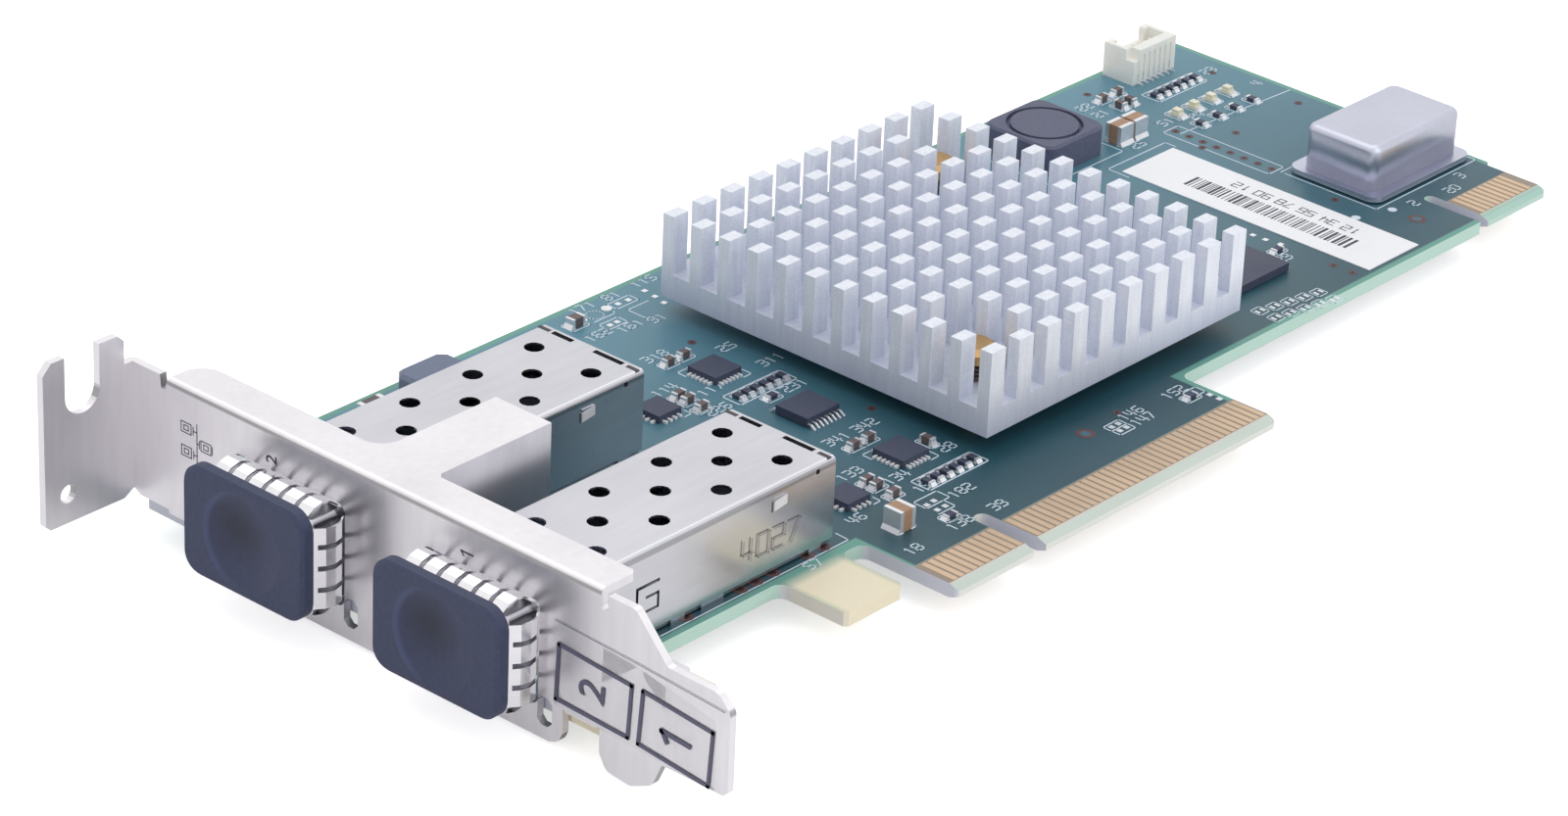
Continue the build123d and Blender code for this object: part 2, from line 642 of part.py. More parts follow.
# Shielded power choke beside the heat sink, and the smaller one behind port 2
with BuildPart() as choke:
    with BuildSketch(level(0)):
        with Locations((choke_x, choke_y)):
            body = Rectangle(choke_size, choke_size)
        fillet(body.vertices(), radius=1.6)
    extrude(amount=choke_height)
    chamfer([e for e in choke.edges() if e.center().Z > board_top + choke_height - 0.01], length=0.3)
    with BuildSketch(level(choke_height - 0.5)):
        with Locations((choke_x, choke_y)):
            RegularPolygon(4.5, 24)
            RegularPolygon(4.0, 24, mode=Mode.SUBTRACT)
    extrude(amount=0.5, mode=Mode.SUBTRACT)
save(choke, "power_choke")

with BuildPart() as rear_choke:
    with BuildSketch(level(0)):
        with Locations((rear_choke_x, rear_choke_y)):
            body = Rectangle(rear_choke_size, rear_choke_size)
        chamfer(body.vertices(), length=1.0)
    extrude(amount=rear_choke_height)
    rim = [e for e in rear_choke.edges() if e.center().Z > board_top + rear_choke_height - 0.01]
    chamfer(rim, length=0.4)
save(rear_choke, "rear_choke")

# Oscillator: drawn can on a flanged base
osc_foot = 0.25
osc_flange = osc_foot + 0.6
osc_top = 6.4
with BuildPart() as oscillator_base:
    with BuildSketch(level(osc_foot)):
        with Locations((osc_x, osc_y)):
            RectangleRounded(osc_flange_length, 12.8, 1.6)
    extrude(amount=osc_flange - osc_foot)
    with BuildSketch(level(0)):
        with Locations((osc_x, osc_y)):
            with GridLocations(15.2, 7.6, 2, 2):
                RegularPolygon(0.8, pin_hole_sides)
    extrude(amount=osc_foot)
save(oscillator_base, "oscillator_base")

with BuildPart() as oscillator_can:
    with BuildSketch(level(osc_flange)):
        with Locations((osc_x, osc_y)):
            RectangleRounded(17.0, 10.0, 1.0)
    extrude(amount=osc_top - osc_flange)
    chamfer([e for e in oscillator_can.edges() if e.center().Z > board_top + osc_top - 0.01], length=0.6)
save(oscillator_can, "oscillator_can")

# Seven-way header with an open top
with BuildPart() as header:
    with BuildSketch(level(0)):
        with Locations((header_x, header_y)):
            Rectangle(7.9, 4.6)
    extrude(amount=4.3)
    with BuildSketch(level(4.3)):
        with Locations((header_x, header_y + 0.3)):
            Rectangle(6.7, 2.4)
    extrude(amount=-3.3, mode=Mode.SUBTRACT)
    block(header_x - 2.6, header_x + 2.6, header_y + 1.4, header_y + 2.4, 2.6, 4.4, Mode.SUBTRACT)
    block(header_x - 4.0, header_x - 2.9, header_y - 2.4, header_y - 1.0, 3.0, 4.4, Mode.SUBTRACT)
    for i in range(header_pins):
        x = header_x + (i - 3) * 1.0
        block(x - 0.12, x + 0.12, header_y - 2.4, header_y - 2.05, -0.01, 3.6, Mode.SUBTRACT)
save(header, "pin_header")

with BuildPart() as header_contacts:
    for i in range(header_pins):
        x = header_x + (i - 3) * 1.0
        block(x - 0.12, x + 0.12, header_y + 0.1, header_y + 0.35, 1.0, 3.6)
        block(x - 0.1, x + 0.1, header_y - 3.1, header_y - 2.3, 0, 0.2)
        block(x - 0.1, x + 0.1, header_y - 2.3, header_y - 2.1, 0, 1.2)
save(header_contacts, "pin_header_contacts")

# Flat leadless chip packages
quad_chips = [(4.0, 47.6, 4.0), (-6.9, 45.5, 3.4), (4.2, 22.0, 4.1), (-7.1, 19.5, 3.4)]
with BuildPart() as interface_chips:
    for x, y, size in quad_chips:
        block(x - size / 2, x + size / 2, y - size / 2, y + size / 2, 0, 0.85)
save(interface_chips, "interface_chips")

with BuildPart() as driver_chip:
    block(driver_x - 2.5, driver_x + 2.5, driver_y - 2.2, driver_y + 2.2, 0.1, 1.1)
save(driver_chip, "driver_chip")

lead_pitch = 0.65
lead_count = 8
lead_width = 0.24
first_lead = driver_x - (lead_count - 1) / 2 * lead_pitch
with BuildPart() as driver_leads:
    for side in (-1, 1):
        body_side, knee, heel, toe = [driver_y + side * reach for reach in (2.2, 2.6, 2.85, 3.2)]
        with BuildSketch(Plane.YZ.offset(first_lead - lead_width / 2)):
            with BuildLine():
                Polyline((body_side, board_top + 0.5), (knee, board_top + 0.5), (toe, board_top + 0.12),
                         (toe, board_top), (heel, board_top), (knee - side * 0.1, board_top + 0.38),
                         (body_side, board_top + 0.38), close=True)
            make_face()
        extrude(amount=(lead_count - 1) * lead_pitch + lead_width)
        lo, hi = sorted((driver_y + side * 2.1, driver_y + side * 3.4))
        for i in range(lead_count - 1):
            x = first_lead + i * lead_pitch
            block(x + lead_width / 2, x + lead_pitch - lead_width / 2, lo, hi, -0.1, 0.7, Mode.SUBTRACT)
save(driver_leads, "driver_chip_leads")

with BuildPart() as memory_chip:
    block(memory_left, memory_right, memory_front, memory_back, 0.1, 1.1)
save(memory_chip, "memory_chip")

with BuildPart() as memory_leads:
    studs([(x, memory_front + 0.55 + i * 0.718) for x in (memory_left - 0.35, memory_right + 0.35)
           for i in range(12)], 0.7, 0.24, 0, 0.2)
save(memory_leads, "memory_chip_leads")

# Tall ceramic capacitors: (x, y, length axis) with metal end caps
tall_caps = [(tall_cap_x, tall_cap_y, "y"), (tall_cap_x + 2.7, tall_cap_y, "y"),
             (-7.5, front_edge - 0.8, "x")]
cap_size = 2.3
cap_end = 0.5
cap_height = 2.4
with BuildPart() as tall_bodies:
    for x, y, axis in tall_caps:
        dx = cap_size / 2 - (cap_end if axis == "x" else 0)
        dy = cap_size / 2 - (cap_end if axis == "y" else 0)
        block(x - dx, x + dx, y - dy, y + dy, 0.05, cap_height)
save(tall_bodies, "tall_capacitors")

with BuildPart() as tall_ends:
    for x, y, axis in tall_caps:
        for side in (-1, 1):
            a, b = sorted((side * (cap_size / 2 - cap_end), side * cap_size / 2))
            if axis == "x":
                block(x + a, x + b, y - cap_size / 2, y + cap_size / 2, 0, cap_height)
            else:
                block(x - cap_size / 2, x + cap_size / 2, y + a, y + b, 0, cap_height)
save(tall_ends, "tall_capacitor_ends")

# Small two-terminal parts, all along Y or X on the board: (x, y, axis, length, width, height)
chip_resistor = (1.6, 0.8, 0.45)
chip_capacitor = (1.6, 0.8, 0.8)
resistors = [(1.65 + 1.34 * i, 42.1, "y", *chip_resistor) for i in range(6)]
resistors += [(1.65 + 1.44 * i, 16.3, "y", *chip_resistor) for i in range(6)]
resistors += [(first_lamp + 3.3 * i, lamp_resistor_y, "y", *chip_resistor) for i in range(lamp_count)]
resistors += [(x, y, "x", *chip_resistor) for x, y in ((4.2, 39.75), (36.1, 9.2), (-2.2, 10.0), (71.3, 24.4))]
resistors += [(header_x - 4.3 + 1.5 * i, pull_up_y, "y", *chip_resistor) for i in range(6)]
capacitors = [(x, y, "x", *chip_capacitor) for x, y in (
    (4.35, 52.3), (2.0, 52.3), (-2.8, 46.4), (-2.8, 45.1), (-3.0, 43.0), (2.0, 26.5), (4.3, 26.5), (-2.8, 20.5),
    (-2.8, 19.2), (-2.9, 16.9), (header_x - 10.0, card_height - 5.5), (header_x - 7.2, card_height - 5.5))]
capacitors += [(x, y, "y", *chip_capacitor) for x, y in (
    (8.3, 21.9), (header_x - 9.8, pull_up_y + 0.9), (header_x - 8.0, pull_up_y + 0.9))]
capacitors += [(1.5, card_height - 3.6, "x", 1.9, 1.2, 1.1), (-28.0, card_height - 3.3, "x", 3.2, 1.6, 1.5)]
for label, entries in (("resistor", resistors), ("capacitor", capacitors)):
    sizes = sorted({entry[2:] for entry in entries})
    with BuildPart() as bodies:
        for axis, length, width, height in sizes:
            spots = [entry[:2] for entry in entries if entry[2:] == (axis, length, width, height)]
            box = (length * 0.64, width) if axis == "x" else (width, length * 0.64)
            studs(spots, *box, 0.03, height)
    save(bodies, f"chip_{label}s")
    with BuildPart() as ends:
        for axis, length, width, height in sizes:
            spots = []
            for x, y in [entry[:2] for entry in entries if entry[2:] == (axis, length, width, height)]:
                for side in (-1, 1):
                    shift = side * length * 0.41
                    spots.append((x + shift, y) if axis == "x" else (x, y + shift))
            box = (length * 0.18, width) if axis == "x" else (width, length * 0.18)
            studs(spots, *box, 0, height)
    save(ends, f"chip_{label}_ends")

# Four indicator lamps in a row
lamp_half = 0.6
with BuildPart() as lamps:
    for x in lamp_x:
        block(x - 0.55, x + 0.55, lamp_y - lamp_half, lamp_y + lamp_half, 0, 0.45)
        block(x - 0.45, x + 0.45, lamp_y - 0.5, lamp_y + 0.5, 0.45, 0.85)
save(lamps, "indicator_lamps")

with BuildPart() as lamp_ends:
    for x in lamp_x:
        for side in (-1, 1):
            a, b = sorted((lamp_y + side * lamp_half, lamp_y + side * (lamp_half + 0.35)))
            block(x - 0.55, x + 0.55, a, b, 0, 0.3)
save(lamp_ends, "indicator_lamp_ends")

# Paper label on the board and clear film with port numbers on the bracket
with BuildPart() as label_sheet:
    with BuildSketch(level(0)):
        with Locations((label_x, (label_front + label_back) / 2)):
            Rectangle(label_width, label_back - label_front)
    extrude(amount=0.1)
save(label_sheet, "paper_label")

with BuildPart() as film:
    with BuildSketch(across(bracket_x)):
        with BuildLine():
            Polyline((11.9, board_top + 0.35), (-8.3, board_top - 0.35), (-8.3, board_top + 6.9),
                     (1.6, board_top + 8.6), (12.2, board_top + 9.25), close=True)
        make_face()
    extrude(amount=-0.1)
save(film, "clear_film")
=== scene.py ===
import functools
import math
import random

import bmesh
import bpy
from mathutils import Matrix, Vector


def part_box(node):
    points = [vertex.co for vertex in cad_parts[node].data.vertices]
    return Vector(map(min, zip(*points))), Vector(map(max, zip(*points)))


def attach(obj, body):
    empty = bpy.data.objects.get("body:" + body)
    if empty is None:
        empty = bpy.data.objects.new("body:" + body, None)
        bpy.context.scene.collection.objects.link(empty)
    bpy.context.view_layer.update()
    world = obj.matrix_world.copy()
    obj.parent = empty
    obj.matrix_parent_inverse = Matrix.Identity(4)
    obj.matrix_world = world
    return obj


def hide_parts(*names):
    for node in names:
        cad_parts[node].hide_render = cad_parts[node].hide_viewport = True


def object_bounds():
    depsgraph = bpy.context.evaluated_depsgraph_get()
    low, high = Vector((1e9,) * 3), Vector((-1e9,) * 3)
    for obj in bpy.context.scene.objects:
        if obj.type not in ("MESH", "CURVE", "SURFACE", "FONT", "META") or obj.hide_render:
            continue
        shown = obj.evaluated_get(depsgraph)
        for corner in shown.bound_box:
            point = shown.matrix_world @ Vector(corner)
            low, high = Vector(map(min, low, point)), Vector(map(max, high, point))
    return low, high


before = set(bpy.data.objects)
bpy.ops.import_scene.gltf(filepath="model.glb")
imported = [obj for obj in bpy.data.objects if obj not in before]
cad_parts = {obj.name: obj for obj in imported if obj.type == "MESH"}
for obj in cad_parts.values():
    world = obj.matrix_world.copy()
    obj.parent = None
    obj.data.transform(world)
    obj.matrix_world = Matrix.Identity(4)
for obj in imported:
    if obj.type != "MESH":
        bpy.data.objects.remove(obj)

bl_info = {
    "name": "Two-port network card",
    "version": (1, 0, 0),
    "blender": (4, 5, 0),
    "location": "3D View > Sidebar > Card",
    "description": "Finishes, prints and small parts of a low-profile expansion card, and a plain studio",
    "category": "Add Mesh",
}

MM = 0.001
CAD_BOX = [[float(value) for value in corner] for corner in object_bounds()]


def corners(node):
    """Lowest and highest corner of a CAD node as vectors."""
    low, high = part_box(node)
    return Vector(low), Vector(high)


BOARD_LOW, BOARD_HIGH = corners("circuit_board")
BOARD_TOP = BOARD_HIGH.z
BRACKET_FACE = corners("clear_film")[1].x
TONGUE_LEFT, TONGUE_RIGHT = -13.0 * MM, 39.15 * MM
CONTACTS_END = 5.9 * MM               # Y where the gold of the tongue stops
FRONT_EDGE = 13.0 * MM                # Y of the board's edge beside the tongue
BARE_TABS = ((BOARD_LOW.x - MM, -42.6 * MM), (-24.6 * MM, -15.9 * MM))  # low and high X
PORTS = {1: 21.7 * MM, 2: 47.45 * MM}   # Y of each port's middle


def paint(red, green, blue):
    """A colour given as 0 to 255 screen values, in the linear values that shaders take."""
    def linear(value):
        value /= 255
        return value / 12.92 if value <= 0.04045 else ((value + 0.055) / 1.055) ** 2.4
    return (linear(red), linear(green), linear(blue), 1.0)


def colour(label, note, red, green, blue):
    return bpy.props.FloatVectorProperty(
        name=label, description=note, default=paint(red, green, blue), size=4, min=0, max=1, subtype="COLOR")


def length(label, note, millimetres):
    return amount(label, note, millimetres * MM, unit="LENGTH", subtype="DISTANCE")


def amount(label, note, value, **settings):
    return bpy.props.FloatProperty(name=label, description=note, default=value, min=0, **settings)


class CardColours(bpy.types.PropertyGroup):
    mask: colour("Solder mask", "Teal mask over the copper", 32, 71, 82)
    # Painted reflection: the mask towards the back edge is lightened by the pale room it mirrors.
    mask_room_reflection: colour("Pale mask", "Mask towards the back edge, which mirrors the pale room", 88, 137, 156)
    margin: colour("Board margin", "Mask over bare laminate along the edges", 98, 158, 144)
    laminate: colour("Cut laminate", "Sawn and bevelled board edges", 229, 231, 224)
    # Painted glow: light passing through the masked laminate tints this cut edge green.
    cut_glow: colour("Green cut edge", "The cut edge beside the tongue, with a painted glow of light through the mask", 194, 225, 213)
    shaded_cut: colour("Shaded cut edge", "Cut edges that face along the board", 208, 211, 223)
    tab: colour("Bare tab", "Laminate without mask or copper", 242, 232, 204)
    gap: colour("Finger gap", "Laminate between the gold contacts", 150, 136, 122)
    gold: colour("Gold", "Plating of the edge contacts", 210, 184, 156)
    nickel: colour("Nickel", "Plating of the bracket", 232, 229, 233)
    cage: colour("Cage plate", "Plating of the module cages", 208, 208, 214)
    collar: colour("Spring collar", "Plating of the spring fingers", 238, 237, 240)
    aluminium: colour("Aluminium", "Sawn heat sink", 238, 242, 255)
    # Painted shade for the low part of the heat sink, between its pins.
    sink_low_shade: colour("Heat sink low shade", "Shade on the low part of the heat sink", 128, 140, 176)
    plug: colour("Plug", "Moulded dust plugs", 53, 60, 90)
    package: colour("Package", "Moulded chip bodies", 58, 64, 86)
    solder: colour("Solder", "Tinned leads and joints", 236, 238, 242)
    ceramic: colour("Ceramic", "Capacitor bodies", 172, 138, 112)
    small_ceramic: colour("Small ceramic", "Bodies of the small capacitors", 100, 88, 88)
    ivory: colour("Ivory", "Header moulding", 250, 248, 240)
    can: colour("Can", "Drawn oscillator can", 198, 200, 214)
    ferrite: colour("Ferrite", "Choke bodies", 88, 92, 116)
    label: colour("Label", "Paper label", 246, 247, 251)
    ink: colour("Ink", "Dark print", 62, 62, 78)
    film_ink: colour("Film ink", "Grey print on the clear film", 92, 92, 116)
    silk: colour("Silkscreen", "Pale print on the board", 214, 228, 240)
    via: colour("Via", "Reddish ring of a plated hole", 94, 66, 68)
    brass: colour("Brass", "Push pins", 188, 154, 108)
    wire: colour("Wire", "Coil springs", 86, 82, 80)
    thermal: colour("Thermal pad", "Soft pad under the heat sink", 150, 152, 156)
    blue_ferrite: colour("Blue ferrite", "Body of the rear choke", 112, 122, 146)
    resin: colour("Resin", "Bodies of the indicator lamps", 236, 232, 206)
    film: colour("Film", "Clear film on the bracket", 236, 236, 240)


class CardSizes(bpy.types.PropertyGroup):
    silk_line: length("Silkscreen line", "Width of a printed line on the board", 0.15)
    silk_digit: length("Silkscreen digit", "Height of a printed number on the board", 1.28)
    print_lift: length("Print thickness", "How far a print stands on its surface", 0.02)
    via_ring: length("Via ring", "Diameter of a plated hole's ring", 1.0)
    spring_wire: length("Spring wire", "Diameter of the coil springs' wire", 0.4)
    terminal: length("Terminal", "Width of a leadless package's terminal", 0.3)


class CardStage(bpy.types.PropertyGroup):
    focal: amount("Focal length", "For a 36 mm wide sensor", 124.534, unit="CAMERA")
    place: bpy.props.FloatVectorProperty(
        name="Camera place", description="In the card's frame", size=3, subtype="TRANSLATION", unit="LENGTH",
        default=(-0.37614, -0.28777, 0.26087))
    turn: bpy.props.FloatVectorProperty(
        name="Camera turn", description="Euler angles", size=3, subtype="EULER", unit="ROTATION",
        default=[math.radians(value) for value in (62.7885, -3.7608, -50.9822)])
    shift: bpy.props.FloatVectorProperty(
        name="Lens shift", description="As shares of the frame's width", size=2, default=(-0.18841, -0.00978))
    key: amount("Key lamp", "Power of the large soft lamp", 1.75, unit="POWER")
    fill: amount("Fill lamp", "Power of the side lamp", 1.5, unit="POWER")
    ambient: amount("Ambient", "Strength of the surroundings on matt surfaces", 0.68)
    floor_seen: amount("Floor as seen", "Light added to the floor that the camera sees", 0.6)
    floor_mirrored: amount("Floor as mirrored", "Light added where metal mirrors the floor", 0.12)


def put(tree, socket, value):
    """Links a socket, or sets a plain value."""
    if isinstance(value, bpy.types.NodeSocket):
        tree.links.new(value, socket)
    else:
        socket.default_value = value


def add(tree, kind, entries=(), **settings):
    """A new node with its settings, and its inputs linked or set by name or number."""
    node = tree.nodes.new(kind)
    for key, value in settings.items():
        setattr(node, key, value)
    for entry, value in dict(entries).items():
        put(tree, node.inputs[entry], value)
    return node


class Shader:
    """One material's node tree, built a node at a time on object coordinates."""

    def __init__(self, name):
        self.material = bpy.data.materials.new(name)
        self.material.use_nodes = True
        self.tree = self.material.node_tree
        self.surface = self.tree.nodes["Principled BSDF"]
        self.place = self.add("ShaderNodeTexCoord").outputs["Object"]

    def add(self, kind, entries=(), **settings):
        return add(self.tree, kind, entries, **settings)

    def noise(self, scale, detail, stretch=None):
        place = self.place
        if stretch:
            place = self.add("ShaderNodeMapping", {"Vector": place, "Scale": stretch}).outputs["Vector"]
        node = self.add("ShaderNodeTexNoise", {"Vector": place, "Scale": scale, "Detail": detail})
        return node.outputs["Fac"]

    def calc(self, operation, first, second=0.0):
        return self.add("ShaderNodeMath", {0: first, 1: second}, operation=operation).outputs[0]

    def times(self, first, second):
        return self.calc("MULTIPLY", first, second)

    def most(self, first, second):
        return self.calc("MAXIMUM", first, second)

    def mean(self, first, second):
        return self.times(self.calc("ADD", first, second), 0.5)

    def span(self, value, low, high, out_low=0.0, out_high=1.0):
        """Carries a value from one range to another, and stops at its ends."""
        entries = dict(enumerate((value, low, high, out_low, out_high)))
        return self.add("ShaderNodeMapRange", entries).outputs[0]

    def mix(self, share, first, second):
        return self.add("ShaderNodeMix", {0: share, 6: first, 7: second}, data_type="RGBA").outputs[2]

    def vary(self, share, tint, darker, lighter):
        """From a darker to a lighter shade of one colour."""
        return self.mix(share, shade(tint, darker), shade(tint, lighter))

    def axes(self):
        return self.add("ShaderNodeSeparateXYZ", {0: self.place}).outputs

    def facing(self, axis):
        """How far the surface faces along an axis, from 0 to 1."""
        normal = self.add("ShaderNodeNewGeometry").outputs["True Normal"]
        return self.calc("ABSOLUTE", self.add("ShaderNodeSeparateXYZ", {0: normal}).outputs[axis])

    def gate(self, value, *limits):
        """Rises from 0 to 1 between the first two limits, and falls back between the last two."""
        rise = self.span(value, limits[0], limits[1])
        if len(limits) == 2:
            return rise
        return self.times(rise, self.span(value, limits[3], limits[2]))

    def from_point(self, axes, y, z):
        """Distance in Y and Z from a point."""
        squares = [self.calc("POWER", self.calc("SUBTRACT", axes[axis], value), 2.0)
                   for axis, value in (("Y", y), ("Z", z))]
        return self.calc("SQRT", self.calc("ADD", *squares))

    def inside(self, axes, x0, x1, y0, y1, soft=0.05 * MM):
        """1 inside a box in X and Y, 0 outside it, with a soft edge."""
        parts = [self.span(axes[axis], edge - soft * sign, edge + soft * sign)
                 for axis, edge, sign in (("X", x0, 1), ("X", x1, -1), ("Y", y0, 1), ("Y", y1, -1))]
        return functools.reduce(self.times, parts)

    def bump(self, height, strength, distance):
        node = self.add("ShaderNodeBump", {"Height": height, "Strength": strength, "Distance": distance})
        put(self.tree, self.surface.inputs["Normal"], node.outputs[0])

    def finish(self, base, roughness, **values):
        """Sets the surface's inputs, with an underscore for each space in their names."""
        for label, value in {"Base_Color": base, "Roughness": roughness, **values}.items():
            put(self.tree, self.surface.inputs[label.replace("_", " ")], value)
        return self.material


def shade(tint, factor):
    """A colour made darker or lighter."""
    return tuple(min(1.0, value * factor) for value in tint[:3]) + (1.0,)


def grained(name, tint, roughness, metallic=0.0, grain=900.0, spread=0.12, relief=0.15, stretch=None,
            depth=0.02, **values):
    """A general finish: uneven colour, uneven gloss and a fine relief, all from one stretched grain."""
    shader = Shader(name)
    fine = shader.noise(grain, 4.0, stretch)
    broad = shader.noise(grain / 14, 2.0)
    blend = shader.mean(fine, broad)
    base = shader.vary(shader.span(blend, 0.3, 0.7), tint, 1 - spread, 1 + spread * 0.6)
    gloss = shader.span(broad, 0.3, 0.7, roughness * 0.82, roughness * 1.18)
    shader.bump(fine, relief, depth * MM)
    return shader.finish(base, gloss, Metallic=metallic, **values)


def folded_metal(name, tint, roughness, stretch, depth, shaded_band=None):
    """Plated sheet with painted dark reflections on its folds, painted shade on its slanted edges, and a band
    of painted dark reflection at given heights on its sides.
    """
    shader = Shader(name)
    fine = shader.noise(1100, 4.0, stretch)
    broad = shader.noise(80, 2.0)
    blend = shader.mean(fine, broad)
    base = shader.vary(shader.span(blend, 0.3, 0.7), tint, 0.93, 1.04)
    # Painted shade: slanted faces and the lower facets of each fold are darkened.
    across, along, upward = shader.facing("X"), shader.facing("Y"), shader.facing("Z")
    flat = shader.most(shader.most(across, along), upward)
    turned = shader.calc("SUBTRACT", 1.0, shader.gate(flat, 0.93, 0.97))
    upright = shader.calc("SUBTRACT", 1.0, shader.gate(upward, 0.04, 0.1))
    leaning = shader.gate(upward, 0.04, 0.1, 0.5, 0.65)
    shaded_folds = shader.most(shader.times(turned, upright), leaning)
    painted_shade = shader.times(shaded_folds, depth)
    # Painted reflection: a dark band at the given heights on faces along Y, below the top bend.
    if shaded_band:
        side = shader.times(shader.gate(shader.axes()["Z"], *shaded_band), shader.gate(along, 0.6, 0.9))
        painted_shade = shader.most(painted_shade, shader.times(side, 0.42))
    base = shader.mix(painted_shade, base, shade(tint, 0.12))
    gloss = shader.span(broad, 0.3, 0.7, roughness * 0.85, roughness * 1.15)
    shader.bump(fine, 0.12, 0.01 * MM)
    return shader.finish(base, gloss, Metallic=1.0)


def dress(material, *nodes):
    """Gives CAD nodes a finish."""
    for node in nodes:
        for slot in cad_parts[node].material_slots:
            slot.material = material


def placed(name, data):
    """A new object in the scene."""
    made = bpy.data.objects.new(name, data)
    bpy.context.scene.collection.objects.link(made)
    return made


def settled(carrier):
    """The final mesh of an object, which is then removed."""
    graph = bpy.context.evaluated_depsgraph_get()
    mesh = bpy.data.meshes.new_from_object(carrier.evaluated_get(graph))
    bpy.data.objects.remove(carrier)
    return mesh


def closed_up(work, name):
    """A mesh from a finished bmesh."""
    mesh = bpy.data.meshes.new(name)
    work.to_mesh(mesh)
    work.free()
    return mesh


def piece(name, mesh, material):
    """A finished piece on the card, its place in its mesh."""
    made = placed(name, mesh)
    mesh.materials.clear()
    mesh.materials.append(material)
    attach(made, "root")
    return made


def islands(node):
    """Lowest and highest corner of each separate solid in a CAD node."""
    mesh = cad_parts[node].data
    work = bmesh.new()
    work.from_mesh(mesh)
    bmesh.ops.remove_doubles(work, verts=work.verts, dist=1e-7)
    left, found = set(work.verts), []
    while left:
        stack, group = [left.pop()], []
        while stack:
            vert = stack.pop()
            group.append(vert.co.copy())
            for edge in vert.link_edges:
                other = edge.other_vert(vert)
                if other in left:
                    left.discard(other)
                    stack.append(other)
        low = Vector([min(point[axis] for point in group) for axis in range(3)])
        high = Vector([max(point[axis] for point in group) for axis in range(3)])
        found.append((low, high))
    work.free()
    return sorted(found, key=lambda pair: (round(pair[0].x, 5), round(pair[0].y, 5)))


def raised_to(z):
    """Local x and y run along X and Y, at a height."""
    return Matrix.Translation((0, 0, z))


def front_plane(x):
    """Local x runs to the right and local y up, seen from outside the bracket."""
    return Matrix(((0, 0, -1, x), (-1, 0, 0, 0), (0, 1, 0, 0), (0, 0, 0, 1)))


def side_plane(y, sign=1):
    """Local x runs along X, local y up and local z out of the wall, towards low Y if sign is 1."""
    return Matrix(((1, 0, 0, 0), (0, 0, -sign, y), (0, 1, 0, 0), (0, 0, 0, 1)))


def plates(polygons, thickness, place):
    """A mesh of thin flat plates: each polygon of 2-D points is raised and put in place by a matrix."""
    work = bmesh.new()
    for polygon in polygons:
        lower = [work.verts.new((x, y, 0)) for x, y in polygon]
        upper = [work.verts.new((x, y, thickness)) for x, y in polygon]
        work.faces.new(upper)
        work.faces.new(lower[::-1])
        for i in range(len(polygon)):
            j = (i + 1) % len(polygon)
            work.faces.new((lower[i], lower[j], upper[j], upper[i]))
    work.transform(place)
    bmesh.ops.recalc_face_normals(work, faces=work.faces)
    return closed_up(work, "plates")


def strokes(points, width, closed=False):
    """Quads along a chain of 2-D points, each running half a width past its ends."""
    chain = [Vector(point) for point in points]
    if closed:
        chain.append(chain[0])
    quads = []
    for start, end in zip(chain, chain[1:]):
        along = (end - start).normalized() * width / 2
        side = Vector((-along.y, along.x))
        a, b = start - along, end + along
        quads.append([tuple(a - side), tuple(b - side), tuple(b + side), tuple(a + side)])
    return quads


def rectangle(x0, x1, y0, y1):
    return [(x0, y0), (x1, y0), (x1, y1), (x0, y1)]


DIGIT_HEIGHT, DIGIT_STEP = 6, 5.6     # in the units of the chains below
DIGIT_LINES = {
    "0": [[(0, 0), (4, 0), (4, 6), (0, 6), (0, 0)]],
    "1": [[(1, 5), (2, 6), (2, 0)]],
    "2": [[(0, 6), (4, 6), (4, 3), (0, 3), (0, 0), (4, 0)]],
    "3": [[(0, 6), (4, 6), (4, 0), (0, 0)], [(1, 3), (4, 3)]],
    "4": [[(0, 6), (0, 2), (4, 2)], [(3, 6), (3, 0)]],
    "5": [[(4, 6), (0, 6), (0, 3), (4, 3), (4, 0), (0, 0)]],
    "6": [[(4, 6), (0, 6), (0, 0), (4, 0), (4, 3), (0, 3)]],
    "7": [[(0, 6), (4, 6), (1, 0)]],
    "8": [[(0, 0), (4, 0), (4, 6), (0, 6), (0, 0)], [(0, 3), (4, 3)]],
    "9": [[(4, 3), (0, 3), (0, 6), (4, 6), (4, 0), (0, 0)]],
}


def number(digits, x, y, height, width, turn=0.0):
    """Quads for a plain number whose lower left corner is at x, y, turned about that corner in degrees."""
    unit = height / DIGIT_HEIGHT
    cos, sin = math.cos(math.radians(turn)), math.sin(math.radians(turn))
    quads = []
    for place, digit in enumerate(digits):
        for chain in DIGIT_LINES[digit]:
            local = [((px + place * DIGIT_STEP) * unit, py * unit) for px, py in chain]
            moved = [(x + px * cos - py * sin, y + px * sin + py * cos) for px, py in local]
            quads += strokes(moved, width)
    return quads


def open_tree(name, points, sockets):
    """A new geometry tree with named inputs, and what they give."""
    tree = bpy.data.node_groups.new(name, "GeometryNodeTree")
    tree.is_modifier = True
    face = tree.interface
    face.new_socket(points, in_out="INPUT", socket_type="NodeSocketGeometry")
    for label, kind in sockets.items():
        face.new_socket(label, in_out="INPUT", socket_type="NodeSocket" + kind)
    face.new_socket("Pieces", in_out="OUTPUT", socket_type="NodeSocketGeometry")
    return tree, tree.nodes.new("NodeGroupInput").outputs


def close_tree(tree, finish, points, shape, turn=(0.0, 0.0, 0.0)):
    """Ends a tree: the shape stands on every point, is made real and takes its finish."""
    stand = add(tree, "GeometryNodeInstanceOnPoints", {"Points": points, "Instance": shape, "Rotation": turn})
    whole = add(tree, "GeometryNodeRealizeInstances", {0: stand.outputs["Instances"]})
    coat = add(tree, "GeometryNodeSetMaterial", {"Geometry": whole.outputs[0], "Material": finish})
    add(tree, "NodeGroupOutput", {"Pieces": coat.outputs[0]})
    return tree


